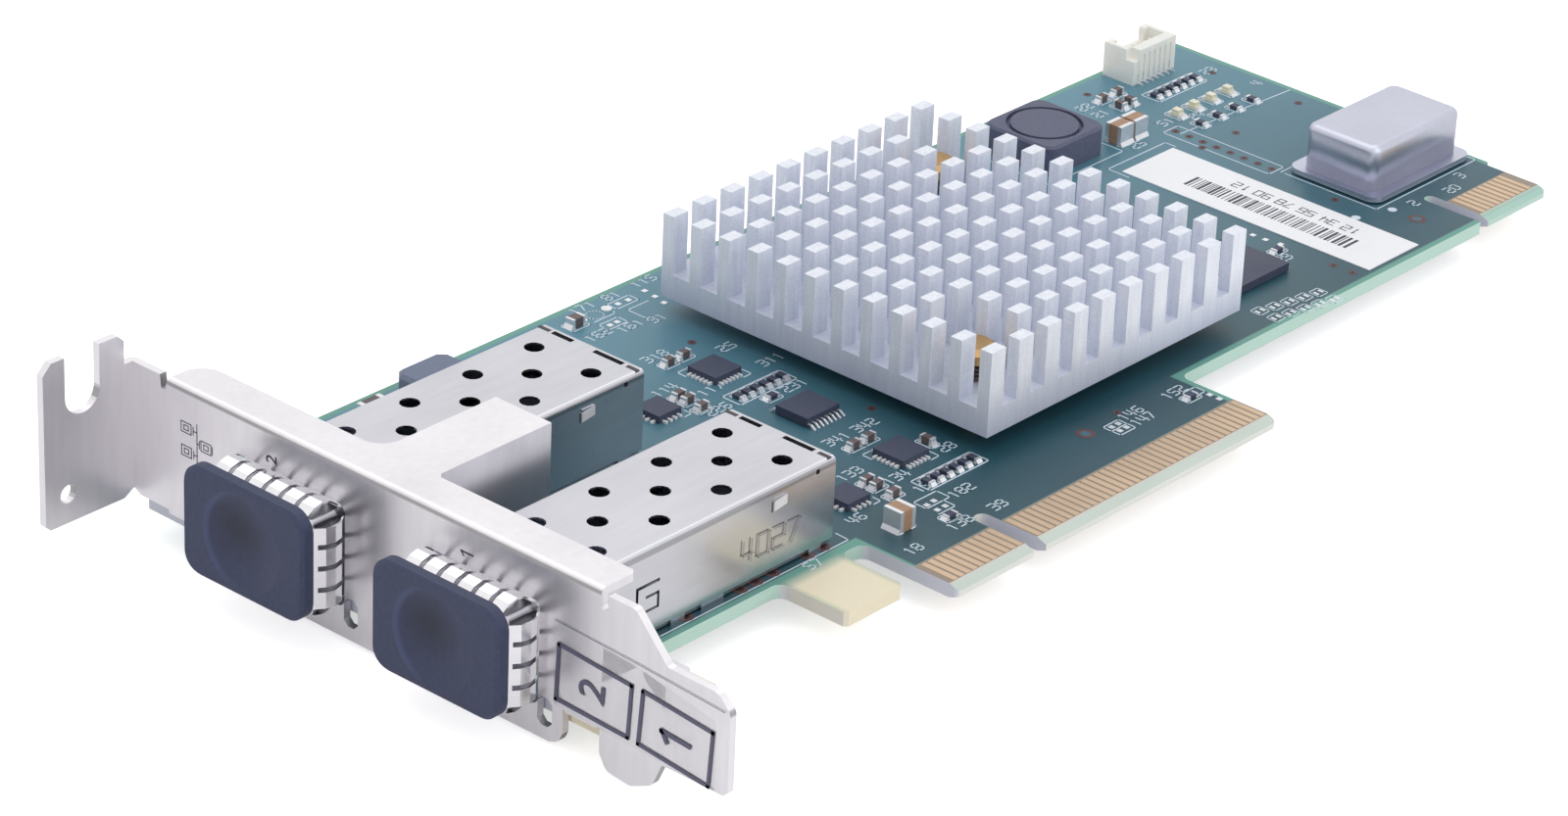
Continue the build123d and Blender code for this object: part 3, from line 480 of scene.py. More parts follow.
def scatter_tree(name, kind):
    """A tree that stands a block or a round stud on every point, turned by the point's own angle."""
    tree, given = open_tree(name, "Points", {"Size": "Vector", "Sides": "Int", "Finish": "Material"})
    if kind == "block":
        shape = add(tree, "GeometryNodeMeshCube", {"Size": given["Size"]})
    else:
        size = add(tree, "ShaderNodeSeparateXYZ", {0: given["Size"]}).outputs
        shape = add(tree, "GeometryNodeMeshCylinder", {
            "Vertices": given["Sides"], "Radius": size["X"], "Depth": size["Z"]})
    angle = add(tree, "GeometryNodeInputNamedAttribute", {"Name": "turn"}, data_type="FLOAT")
    turn = add(tree, "ShaderNodeCombineXYZ", {"Z": angle.outputs["Attribute"]})
    return close_tree(tree, given["Finish"], given["Points"], shape.outputs["Mesh"], turn.outputs[0])


def spring_tree():
    """A tree that winds a round wire into a coil on every seat."""
    tree, given = open_tree("CoilSpring", "Seats", {
        "Turns": "Float", "Radius": "Float", "Height": "Float", "Wire": "Float", "Finish": "Material"})
    coil = add(tree, "GeometryNodeCurveSpiral", {
        "Resolution": 20, "Rotations": given["Turns"], "Start Radius": given["Radius"],
        "End Radius": given["Radius"], "Height": given["Height"]})
    section = add(tree, "GeometryNodeCurvePrimitiveCircle", {"Resolution": 8, "Radius": given["Wire"]})
    wire = add(tree, "GeometryNodeCurveToMesh", {
        "Curve": coil.outputs[0], "Profile Curve": section.outputs[0], "Fill Caps": True})
    lift = add(tree, "ShaderNodeCombineXYZ", {"Z": given["Wire"]})
    raised = add(tree, "GeometryNodeTransform", {"Geometry": wire.outputs[0], "Translation": lift.outputs[0]})
    return close_tree(tree, given["Finish"], given["Seats"], raised.outputs[0])


def drawn_can(low, high, corner, crown, steps=6):
    """A mesh of a drawn can: a rounded rectangle with a rounded top edge."""
    middle = (low + high) / 2
    sharpest = 0.2 * MM
    work = bmesh.new()
    loops = []
    levels = [(0.0, low.z)]
    for i in range(steps + 1):
        angle = math.pi / 2 * i / steps
        levels.append((crown * (1 - math.cos(angle)), high.z - crown + crown * math.sin(angle)))
    for inset, z in levels:
        radius = max(corner - inset, sharpest)
        half_x, half_y = (high.x - low.x) / 2 - inset - radius, (high.y - low.y) / 2 - inset - radius
        loop = []
        for quarter, (sx, sy) in enumerate(((1, 1), (-1, 1), (-1, -1), (1, -1))):
            for i in range(steps + 1):
                angle = math.pi / 2 * (quarter + i / steps)
                loop.append(work.verts.new((middle.x + sx * half_x + radius * math.cos(angle),
                                            middle.y + sy * half_y + radius * math.sin(angle), z)))
        loops.append(loop)
    for lower, upper in zip(loops, loops[1:]):
        for i in range(len(lower)):
            j = (i + 1) % len(lower)
            work.faces.new((lower[i], lower[j], upper[j], upper[i])).smooth = True
    work.faces.new(loops[-1])
    work.faces.new(loops[0][::-1])
    return closed_up(work, "can")


def grown(tree, seed, values):
    """Runs a geometry tree on a seed mesh and returns the result as a plain mesh."""
    carrier = placed("carrier", seed)
    modifier = carrier.modifiers.new("Grow", "NODES")
    modifier.node_group = tree
    for item in tree.interface.items_tree:
        if item.in_out == "INPUT" and item.name in values:
            modifier[item.identifier] = values[item.name]
    return settled(carrier)


def scattered(name, kind, points, size, material, turns=None, sides=12):
    """Like pieces on a list of points, grown by one geometry tree."""
    seed = bpy.data.meshes.new(name)
    seed.from_pydata(points, [], [])
    turn = seed.attributes.new("turn", "FLOAT", "POINT")
    turn.data.foreach_set("value", turns or [0.0] * len(points))
    tree = scatter_tree(name + "_tree", kind)
    values = {"Size": tuple(size), "Sides": sides, "Finish": material}
    return piece(name, grown(tree, seed, values), material)


# Prints and holes on the board, in X and Y in millimetres
SILK_LINES = [
    [(-40.4, 13.97), (-13.1, 13.97), (-13.0, 15.7)],
    [(88.2, 51.3), (107.7, 50.1)],
    [(74.3, 48.0), (74.3, 51.0), (84.9, 51.0), (84.9, 49.5)],
    [(88.4, 36.2), (88.4, 23.2), (107.9, 23.2), (107.9, 36.8), (88.4, 36.8)],
    [(24.1, 10.2), (26.6, 10.2)],
    [(8.2, 61.5), (8.2, 64.0), (11.4, 64.0)],
    [(3.5, 64.4), (6.6, 64.4), (6.9, 64.8)],
    [(-2.6, 11.1), (0.0, 11.1), (0.0, 12.7)],
]
# Low and high X, then low and high Y. The parts in the shared boxes have no outline of their own.
SHARED_BOXES = [(0.6, 9.4, 40.8, 43.4), (0.6, 9.9, 15.0, 17.6), (93.4, 102.6, 58.5, 61.3)]
SILK_BOXES = SHARED_BOXES + [
    (86.9, 89.7, 37.4, 52.9), (24.1, 26.6, 9.0, 11.4), (36.2, 38.4, 9.0, 10.4), (3.3, 6.2, 62.1, 63.6),
    (7.5, 10.9, 64.9, 66.4), (-2.6, 1.0, 12.7, 14.5), (66.0, 79.4, 52.9, 65.5),
]
NUMBERS = [
    ("318", 0.7, 53.9), ("25", 8.4, 50.2), ("231", 6.3, 39.3), ("114", -4.2, 48.0), ("117", -0.6, 44.8),
    ("226", -3.4, 41.2), ("341", 0.5, 28.3), ("342", 4.9, 28.3), ("133", -4.2, 22.4), ("134", -1.3, 18.6),
    ("46", -10.2, 15.7), ("138", -4.0, 7.9), ("39", 2.2, 7.6), ("18", -10.9, 7.6), ("57", -20.3, 12.5),
    ("28", 8.0, 19.3), ("311", 9.0, 45.0), ("51", 88.4, 53.9), ("3", 102.6, 21.3), ("2", 92.5, 20.6),
    ("20", 98.3, 19.8), ("4", 106.0, 53.4), ("29", 69.4, 22.2), ("146", 27.1, 10.8), ("147", 27.1, 9.1),
    ("152", 34.2, 10.6), ("21", 84.6, 60.6), ("22", 84.6, 63.0), ("23", 103.9, 59.6), ("24", 92.6, 52.6),
    ("161", 4.0, 60.6), ("162", 0.0, 61.5), ("25", 81.0, 52.2), ("171", 3.4, 67.1), ("81", 8.3, 66.9),
    ("91", 8.0, 59.9), ("115", 12.9, 67.0), ("182", 1.3, 12.2), ("158", -0.4, 15.4),
]
VIAS = [
    (7.54, 54.08), (27.79, 12.45), (104.86, 59.55), (105.45, 47.14), (93.22, 47.06), (87.0, 47.18),
    (86.96, 28.01), (73.04, 17.84), (73.1, 15.29), (88.79, 65.75), (9.9, 30.9),
]
WALL_VIAS = [(x, 14.85) for x in (-16.1, -18.4, -23.5, -26.0, -28.2, -36.0)]
WIDE_VIAS = [(21.72, 11.78), (89.79, 18.49)]
VIA_ROW = [(88.3, 52.14 - 2.01 * i) for i in range(8)]
BARE_PADS = [
    (24.8, 9.7), (25.9, 9.7), (24.8, 10.8), (25.9, 10.8), (-2.0, 13.2), (-0.8, 13.3), (-2.0, 11.8),
    (-0.8, 11.8), (8.5, 65.7), (10.0, 65.6), (4.2, 62.8), (5.3, 62.8), (12.9, 65.9), (12.7, 64.2),
    (12.3, 62.5), (72.6, 28.8), (72.7, 27.1), (73.0, 25.2), (38.1, 8.2), (38.1, 6.9),
]
SWITCH_PADS = [(2.7, 65.5), (6.6, 65.6)]
SWITCH_RING = (4.8 * MM, 65.6 * MM, 1.0 * MM)      # X, Y and radius in metres
SILK_DOTS = [(89.7, 21.9), (84.9, 23.5)]
FOOTPRINTS = [(57.9 + 2.1 * i, y - 0.42 * i) for y in (16.6, 14.4) for i in range(5)]


def on_board(points):
    """Points in millimetres as metres in X and Y."""
    return [(x * MM, y * MM) for x, y in points]


def above_board(points, height):
    """Points in millimetres at a height over the board, also in millimetres."""
    return [(x * MM, y * MM, BOARD_TOP + height * MM) for x, y in points]


def round_plate(x, y, radius, sides=16):
    return [(x + radius * math.cos(math.tau * i / sides), y + radius * math.sin(math.tau * i / sides))
            for i in range(sides)]


class CARD_OT_silkscreen(bpy.types.Operator):
    """Prints the pale lines, part outlines and plain numbers on the board"""
    bl_idname = "card.silkscreen"
    bl_label = "Silkscreen"

    def execute(self, context):
        sizes = context.scene.card_sizes
        tints = context.scene.card_colours
        line = sizes.silk_line
        shapes = []
        for chain in SILK_LINES:
            shapes += strokes(on_board(chain), line)
        for box in SILK_BOXES:
            shapes += strokes(on_board(rectangle(*box)), line, closed=True)
        for digits, x, y in NUMBERS:
            shapes += number(digits, x * MM, y * MM, sizes.silk_digit, line * 1.05)
        dot_radius = 0.55 * MM
        for x, y in SILK_DOTS:
            shapes.append(round_plate(x * MM, y * MM, dot_radius))
        half_x, half_y = 0.8, 0.75
        for x, y in FOOTPRINTS:
            outline = on_board(rectangle(x - half_x, x + half_x, y - half_y, y + half_y))
            shapes += strokes(outline, line * 0.8, closed=True)
        shapes += strokes(round_plate(*SWITCH_RING), line, closed=True)
        clear = 0.35 * MM
        for node, body_share in (("chip_resistors", 0.64), ("chip_capacitors", 0.64),
                                 ("indicator_lamps", 0.6)):
            for low, high in islands(node):
                x, y = (low.x + high.x) / 2 / MM, (low.y + high.y) / 2 / MM
                if any(x0 < x < x1 and y0 < y < y1 for x0, x1, y0, y1 in SHARED_BOXES):
                    continue
                grow = [clear, clear]
                size = high - low
                longer = 0 if size.x > size.y else 1
                grow[longer] += size[longer] * (1 / body_share - 1) / 2
                outline = rectangle(low.x - grow[0], high.x + grow[0], low.y - grow[1], high.y + grow[1])
                shapes += strokes(outline, line, closed=True)
        out, arm_share = 0.75 * MM, 0.3
        for low, high in islands("interface_chips"):
            arm = (high.x - low.x) * arm_share
            for sx, sy, x, y in ((1, -1, high.x, low.y), (-1, 1, low.x, high.y)):
                x, y = x + sx * out, y + sy * out
                shapes += strokes([(x - sx * arm, y), (x, y), (x, y - sy * arm)], line)
        ink = grained("Silkscreen", tints.silk, 0.6, 0.0, 2500, 0.08, 0.2)
        mesh = plates(shapes, sizes.print_lift, raised_to(BOARD_TOP))
        piece("silkscreen", mesh, ink)
        return {"FINISHED"}


class CARD_OT_plated_holes(bpy.types.Operator):
    """Sets the plated holes and bare pads on the board"""
    bl_idname = "card.plated_holes"
    bl_label = "Plated holes and pads"

    def execute(self, context):
        tints = context.scene.card_colours
        radius = context.scene.card_sizes.via_ring / MM / 2
        ring = grained("ViaRing", tints.via, 0.45, 0.0, 1500, 0.2, 0.2)
        # Painted shade: dark discs stand for the shaded inside of the plated holes.
        painted_shade = grained("ViaHoleShade", shade(tints.via, 0.25), 0.6, 0.0, 1500, 0.2, 0.2)
        centre = grained("ViaCentre", shade(tints.mask_room_reflection, 0.6), 0.5, 0.0, 1500, 0.3, 0.2)
        plain = VIAS + VIA_ROW
        # Name, places, radius, thickness, finish and number of sides
        for name, points, size, thick, finish, sides in (
                ("via_rings", plain, radius, 0.03, ring, 16),
                ("via_holes", plain, radius * 0.42, 0.05, painted_shade, 12),
                ("wall_via_rings", WALL_VIAS, radius * 1.8, 0.03, ring, 18),
                ("wall_via_holes", WALL_VIAS, radius * 0.9, 0.05, painted_shade, 12),
                ("wide_via_centres", WIDE_VIAS, radius * 1.1, 0.03, centre, 12),
                ("wide_via_rings", WIDE_VIAS, radius * 2.1, 0.02, ring, 20)):
            scattered(name, "round", above_board(points, 0.01), (size * MM, size * MM, thick * MM), finish,
                      sides=sides)
        solder = grained("PadSolder", tints.solder, 0.3, 0.5, 1200, 0.1, 0.3)
        small = [(x + side * 0.42, y) for x, y in FOOTPRINTS for side in (-1, 1)]
        # Name, shape, places and the pad's size in X, Y and Z, in millimetres
        for name, kind, points, size in (
                ("bare_pads", "block", BARE_PADS, (0.62, 0.62, 0.04)),
                ("small_pads", "block", small, (0.34, 0.7, 0.04)),
                ("switch_pads", "round", SWITCH_PADS, (0.6, 0.6, 0.2))):
            scattered(name, kind, above_board(points, size[2] / 2), [value * MM for value in size], solder,
                      sides=14)
        return {"FINISHED"}


def wedge(work, end, outward, run, rise):
    """Adds a solder fillet: a triangular prism from a part's end cap down to its pad."""
    low, high = end
    axis = 0 if abs(outward.x) > abs(outward.y) else 1
    sign = 1 if outward[axis] > 0 else -1
    face = high[axis] if sign > 0 else low[axis]
    other = 1 - axis
    verts = []
    for side in (low[other], high[other]):
        for reach, height in ((0.0, low.z), (run, low.z), (0.0, low.z + rise)):
            spot = [0.0, 0.0, height]
            spot[axis] = face + sign * reach
            spot[other] = side
            verts.append(work.verts.new(spot))
    a, b, c, d, e, f = verts
    for corner in ((a, b, c), (d, f, e), (a, d, e, b), (b, e, f, c), (c, f, d, a)):
        work.faces.new(corner)


class CARD_OT_soldering(bpy.types.Operator):
    """Adds the chip terminals, the pads and the solder fillets of the small parts"""
    bl_idname = "card.soldering"
    bl_label = "Soldering"

    def execute(self, context):
        tints = context.scene.card_colours
        solder = grained("JointSolder", tints.solder, 0.25, 0.5, 1200, 0.1, 0.3)
        tinned = grained("Terminals", tints.solder, 0.35, 0.1, 1200, 0.06, 0.2)
        wide_chip, row_share = 3.8 * MM, 0.85
        reach, tuck, thick = 0.24 * MM, 0.1 * MM, 0.26 * MM
        points, turns = [], []
        for low, high in islands("interface_chips"):
            count = 6 if high.x - low.x > wide_chip else 4
            centre = (low + high) / 2
            half = (high.x - low.x) / 2
            z = BOARD_TOP + thick / 2
            for i in range(count):
                along = (2 * i - count + 1) * half * row_share / count
                for out in (-half - reach, half + reach):
                    points += [(centre.x + out, centre.y + along, z), (centre.x + along, centre.y + out, z)]
                    turns += [0.0, math.pi / 2]
        size = (2 * (reach + tuck), context.scene.card_sizes.terminal, thick)
        scattered("chip_terminals", "block", points, size, tinned, turns)

        run, tallest, rise_share, margin, pad = 0.3 * MM, 0.5 * MM, 0.75, 0.08 * MM, 0.04 * MM
        work = bmesh.new()
        pads = []
        for part in ("chip_resistor", "chip_capacitor", "tall_capacitor", "indicator_lamp"):
            centres = [(low + high) / 2 for low, high in islands(part + "s")]
            for low, high in islands(part + "_ends"):
                middle = (low + high) / 2
                nearest = min(centres, key=lambda point: (point - middle).length)
                rise = min(tallest, (high.z - low.z) * rise_share)
                wedge(work, (low, high), (middle - nearest).xy, run, rise)
                pads.append(rectangle(low.x - margin, high.x + margin, low.y - margin, high.y + margin))
        bmesh.ops.recalc_face_normals(work, faces=work.faces)
        piece("solder_fillets", closed_up(work, "solder_fillets"), solder)
        piece("solder_pads", plates(pads, pad, raised_to(BOARD_TOP)), solder)
        return {"FINISHED"}


class CARD_OT_label(bpy.types.Operator):
    """Prints bars and a plain number on the paper label"""
    bl_idname = "card.label"
    bl_label = "Label print"

    def execute(self, context):
        tints = context.scene.card_colours
        low, high = corners("paper_label")
        pick = random.Random(11)
        shapes = []
        left, right = low.x + 2.5 * MM, low.x + 5.2 * MM
        y, bars_end = low.y + 5.2 * MM, low.y + 28.0 * MM
        while y < bars_end:
            thick = pick.choice((0.14, 0.14, 0.26, 0.38)) * MM
            shapes.append(rectangle(left, right, y, y + thick))
            y += thick + pick.choice((0.16, 0.24, 0.38)) * MM
        digits_x, first_y, step = right + 2.3 * MM, low.y + 6.6 * MM, 3.1 * MM
        height, line = 1.3 * MM, 0.15 * MM
        for group, digits in enumerate(("12", "34", "56", "78", "90", "12")):
            shapes += number(digits, digits_x, first_y + group * step, height, line, turn=90)
        ink = grained("LabelInk", tints.ink, 0.6, 0.0, 2500, 0.2, 0.1)
        mesh = plates(shapes, 0.01 * MM, raised_to(high.z))
        piece("label_print", mesh, ink)
        return {"FINISHED"}


def glyph(digit, height, place):
    """A mesh of one printed digit of a built-in face, its middle at the place's origin."""
    curve = bpy.data.curves.new("digit", "FONT")
    curve.body = digit
    curve.size = height * 1.4        # the face's digits fill 0.7 of its size
    curve.extrude = 0.01 * MM
    curve.offset = 0.006 * height
    curve.align_x = "CENTER"
    curve.align_y = "CENTER"
    curve.resolution_u = 3
    mesh = settled(placed("digit", curve))
    mesh.transform(place)
    return mesh


def figure_one(height, width):
    """Quads for a plain figure one about the origin."""
    return strokes([(-0.26 * height, 0.3 * height), (0, height / 2), (0, -height / 2)], width)


def flat(y, z):
    """A place on the bracket's plane, from Y and a height over the board in millimetres."""
    return (-y * MM, BOARD_TOP + z * MM)


def on_bracket(points):
    return [flat(*point) for point in points]


# A pictogram of joined boxes and the film's print, in Y and height over the board in millimetres
PICTOGRAM_BOXES = [(61.72, 10.5), (61.69, 7.92), (58.94, 9.3)]
PICTOGRAM_HALVES = [(0.7, 0.56), (0.315, 0.252)]
PICTOGRAM_LINES = [
    [(60.72, 10.1), (60.72, 10.9)], [(60.66, 7.5), (60.66, 8.3)], [(59.87, 8.9), (59.87, 9.7)],
    [(58.05, 8.9), (58.05, 9.7)], [(60.2, 7.1), (60.2, 11.4)], [(60.72, 10.5), (60.2, 10.5)],
    [(60.66, 7.9), (60.2, 7.9)], [(60.2, 9.3), (59.87, 9.3)],
]
FILM_EDGE = [(12.0, 9.4), (1.5, 9.0), (-9.3, 8.4)]
FILM_BOXES = {"2": [(11.42, 7.0), (2.2, 6.36), (2.53, 0.7), (11.69, 1.05)],
              "1": [(0.77, 6.4), (-7.94, 5.64), (-7.57, -0.19), (1.2, 0.61)]}


class CARD_OT_bracket_print(bpy.types.Operator):
    """Prints the port numbers, a pictogram and the film's numbered boxes on the bracket"""
    bl_idname = "card.bracket_print"
    bl_label = "Bracket print"

    def execute(self, context):
        tints = context.scene.card_colours
        ink = grained("BracketInk", tints.ink, 0.5, 0.0, 2500, 0.15, 0.1)
        lift, line, port_digit = 0.015 * MM, 0.11 * MM, 1.5 * MM
        plane = front_plane(BRACKET_FACE)
        shapes = []
        for y, z in PICTOGRAM_BOXES:
            for half_y, half_z in PICTOGRAM_HALVES:
                sides = rectangle(y - half_y, y + half_y, z - half_z, z + half_z)
                shapes += strokes(on_bracket(sides), line, closed=True)
        for chain in PICTOGRAM_LINES:
            shapes += strokes(on_bracket(chain), line)
        piece("bracket_marks", plates(shapes, lift, plane), ink)
        quarter = Matrix.Rotation(math.radians(90), 4, "Z")
        place = plane @ Matrix.Translation((*flat(49.7, 11.6), lift)) @ quarter
        piece("port_number_2", glyph("2", port_digit, place), ink)
        place = plane @ Matrix.Translation((*flat(23.5, 11.8), 0)) @ quarter
        piece("port_number_1", plates(figure_one(port_digit, 0.2 * MM), lift, place), ink)

        plane = front_plane(corners("clear_film")[0].x)
        edge_line, box_line, one_line = 0.07 * MM, 0.4 * MM, 0.5 * MM
        shapes = strokes(on_bracket(FILM_EDGE), edge_line)
        for outline in FILM_BOXES.values():
            shapes += strokes(on_bracket(outline), box_line, closed=True)
        film_ink = grained("FilmInk", tints.film_ink, 0.5, 0.0, 2500, 0.15, 0.1)
        piece("film_boxes", plates(shapes, lift, plane), film_ink)
        lean = Matrix.Rotation(math.radians(86), 4, "Z")
        for digit, outline in FILM_BOXES.items():
            middle = flat(*[sum(point[axis] for point in outline) / 4 for axis in (0, 1)])
            place = plane @ Matrix.Translation((*middle, 0)) @ lean
            if digit == "1":
                mesh = plates(figure_one(3.4 * MM, one_line), lift, place)
            else:
                mesh = glyph(digit, 3.3 * MM, place)
            piece("film_number_" + digit, mesh, film_ink)
        return {"FINISHED"}


class CARD_OT_stamp(bpy.types.Operator):
    """Stamps a plain batch number on the side of the first cage"""
    bl_idname = "card.stamp"
    bl_label = "Batch stamp"

    def execute(self, context):
        tints = context.scene.card_colours
        plane = side_plane(corners("port_1_cage_cover")[0].y)
        x, z, height, line = -28.4 * MM, BOARD_TOP + 3.0 * MM, 2.4 * MM, 0.15 * MM
        shapes = number("4027", x, z, height, line, turn=-2)
        grey = grained("StampGrey", shade(tints.cage, 0.6), 0.4, 0.9, 600, 0.3, 0.1)
        piece("batch_stamp", plates(shapes, 0.008 * MM, plane), grey)
        return {"FINISHED"}


class CARD_OT_board(bpy.types.Operator):
    """Finishes the board, its bare tabs and edges, and the gold contacts"""
    bl_idname = "card.board"
    bl_label = "Board"

    def execute(self, context):
        tints = context.scene.card_colours
        shader = Shader("Board")
        axes = shader.axes()
        flat = shader.span(shader.facing("Z"), 0.93, 0.97)
        weave = shader.noise(2600, 2.0)
        broad = shader.noise(60, 2.0)
        # Painted reflection: the mask pales from the front edge towards the back edge, where it mirrors the
        # pale room.
        depth = shader.span(axes["Y"], FRONT_EDGE, BOARD_HIGH.y)
        smooth = shader.mix(depth, tints.mask, tints.mask_room_reflection)
        cloudy = shader.mix(depth, shade(tints.mask, 1.25), shade(tints.mask_room_reflection, 1.1))
        mask = shader.mix(shader.span(broad, 0.35, 0.65), smooth, cloudy)
        margin = shader.vary(weave, tints.margin, 0.92, 1.06)
        rim, soft = 0.75 * MM, 0.12 * MM
        copper = shader.inside(axes, BOARD_LOW.x + rim, BOARD_HIGH.x - rim, FRONT_EDGE + rim,
                               BOARD_HIGH.y - rim, soft)
        tongue = shader.inside(axes, TONGUE_LEFT + rim, TONGUE_RIGHT - rim, CONTACTS_END,
                               FRONT_EDGE + 2 * rim, soft)
        face = shader.mix(shader.most(copper, tongue), margin, mask)
        for strip in ((TONGUE_LEFT, TONGUE_RIGHT, 1.0 * MM, CONTACTS_END),
                      (96.1 * MM, BOARD_HIGH.x, 14.0 * MM, 18.9 * MM)):
            face = shader.mix(shader.inside(axes, *strip), face, tints.gap)
        bare = shader.vary(weave, tints.tab, 0.93, 1.0)
        layers = shader.noise(1500, 3.0, (0.05, 0.05, 1.0))
        cut = shader.vary(layers, tints.laminate, 0.88, 1.08)
        # Painted glow: the cut edge beside the tongue turns green where light passes through the masked
        # laminate.
        beside = shader.gate(axes["Y"], FRONT_EDGE - 2 * MM, FRONT_EDGE - MM)
        cut = shader.mix(beside, cut, shader.vary(layers, tints.cut_glow, 0.9, 1.0))
        # Painted shade: cut edges that face along X take a darker, bluer tone.
        cut = shader.mix(shader.gate(shader.facing("X"), 0.6, 0.9), cut, tints.shaded_cut)
        fade = 0.9 * MM
        for low, high in BARE_TABS:
            tab = shader.inside(axes, low, high, -MM, FRONT_EDGE - fade, fade)
            face, cut = shader.mix(tab, face, bare), shader.mix(tab, cut, bare)
        base = shader.mix(flat, cut, face)
        glossy, satin, matt = [(value, value, value, 1) for value in (0.34, 0.42, 0.6)]
        gloss = shader.mix(flat, matt, shader.mix(broad, glossy, satin))
        shader.bump(shader.calc("ADD", weave, shader.noise(500, 2.0)), 0.12, 0.01 * MM)
        dress(shader.finish(base, gloss), "circuit_board")

        gold = grained("Gold", tints.gold, 0.38, 0.9, 1400, 0.10, 0.2, (1, 0.15, 1))
        dress(gold, "edge_contacts_top", "edge_contacts_bottom", "aux_contacts_top", "aux_contacts_bottom")
        return {"FINISHED"}


class CARD_OT_metalwork(bpy.types.Operator):
    """Finishes the bracket, the module cages, their spring collars and the screws"""
    bl_idname = "card.metalwork"
    bl_label = "Metalwork"

    def execute(self, context):
        tints = context.scene.card_colours
        dress(folded_metal("Nickel", tints.nickel, 0.37, (1, 1, 0.12), 0.62), "bracket")
        # Heights of the painted dark band below the cages' top bend.
        bend = corners("port_1_cage_cover")[1].z
        plate = folded_metal("CagePlate", tints.cage, 0.27, (0.12, 1, 1), 0.5,
                             [bend - step * MM for step in (0.95, 0.8, 0.3, 0.15)])
        dress(plate, *[f"port_{n}_{part}" for n in PORTS for part in ("cage_cover", "cage_base")])
        # Painted light: the matt white boss plates stand for the highlight on the pressed latch bosses, and
        # the dark skins beside each boss and over the rear corner slots are painted shadow.
        bright = grained("LatchBossHighlight", shade(tints.label, 0.78), 0.4, 0.0, 1200, 0.05, 0.1)
        shadow = grained("LatchGapShadow", shade(tints.cage, 0.12), 0.7, 0.3, 1200, 0.05, 0.1)
        boss_inset, boss_thick, skin, lean = 0.15 * MM, 0.2 * MM, 0.01 * MM, 0.25 * MM
        base, top = BOARD_TOP + 7.2 * MM, BOARD_TOP + 8.5 * MM
        gap_width, gap_drop = 0.22 * MM, 0.1 * MM
        for port in PORTS:
            low, high = corners(f"port_{port}_cage_cover")
            left, right = high.x - 9.15 * MM, high.x - 7.3 * MM
            boss = [(left, base), (right, base + lean), (right, top), (left, top - lean)]
            gap = rectangle(left - gap_width, left, base - gap_drop, top - lean)
            for side, face, sign in (("front", low.y, 1), ("back", high.y, -1)):
                plane = side_plane(face + boss_inset * sign, sign)
                ends = sorted((face + 0.3 * MM * sign, face + 1.9 * MM * sign))
                corner = rectangle(high.x - 0.95 * MM, high.x - 0.4 * MM, *ends)
                for part, shape, thick, place, finish in (
                        ("corner_gap", corner, skin, raised_to(high.z), shadow),
                        ("boss", boss, boss_thick, plane, bright),
                        ("boss_gap_shadow", gap, skin, plane, shadow)):
                    mesh = plates([shape], thick, place)
                    piece(f"port_{port}_{side}_{part}", mesh, finish)
        spring = grained("SpringPlate", tints.collar, 0.16, 1.0, 1300, 0.06, 0.1, (0.2, 1, 1), 0.008)
        dress(spring, *[f"port_{n}_spring_collar" for n in PORTS])
        zinc = grained("Zinc", shade(tints.nickel, 0.86), 0.36, 1.0, 1500, 0.1, 0.2)
        dress(zinc, "bracket_screws")
        return {"FINISHED"}


class CARD_OT_cooling(bpy.types.Operator):
    """Finishes the heat sink and its push pins, and winds their springs"""
    bl_idname = "card.cooling"
    bl_label = "Heat sink"

    def execute(self, context):
        tints = context.scene.card_colours
        shader = Shader("SawnAluminium")
        low = corners("heat_sink")[0]
        fine = shader.noise(1500, 4.0, (1, 1, 0.1))
        speck = shader.noise(4200, 2.0)
        blend = shader.mean(fine, speck)
        tone = shader.vary(shader.span(blend, 0.35, 0.65), tints.aluminium, 0.88, 1.05)
        # Painted shade: the heat sink darkens towards its base.
        shaded_height = 5.5 * MM
        climb = shader.span(shader.axes()["Z"], low.z, low.z + shaded_height)
        tone = shader.mix(climb, shader.mix(0.5, tone, tints.sink_low_shade), tone)
        shader.bump(fine, 0.3, 0.02 * MM)
        dress(shader.finish(tone, 0.45, Metallic=0.15), "heat_sink")
        brass = grained("Brass", tints.brass, 0.4, 1.0, 1600, 0.12, 0.2)
        dress(brass, "push_pin_1", "push_pin_2")
        wire = grained("DarkWire", tints.wire, 0.35, 1.0, 1500, 0.15, 0.2)
        coils = islands("push_pin_springs")
        seats = [((low.x + high.x) / 2, (low.y + high.y) / 2, low.z) for low, high in coils]
        low, high = coils[0]
        seed = bpy.data.meshes.new("spring_seats")
        seed.from_pydata(seats, [], [])
        width = context.scene.card_sizes.spring_wire
        values = {"Turns": 3.5, "Radius": (high.x - low.x - width) / 2, "Height": high.z - low.z - width,
                  "Wire": width / 2, "Finish": wire}
        springs = piece("coil_springs", grown(spring_tree(), seed, values), wire)
        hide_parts("push_pin_springs")
        dress(grained("PadGrey", tints.thermal, 0.8, 0.0, 900), "thermal_pad")
        return {"FINISHED"}


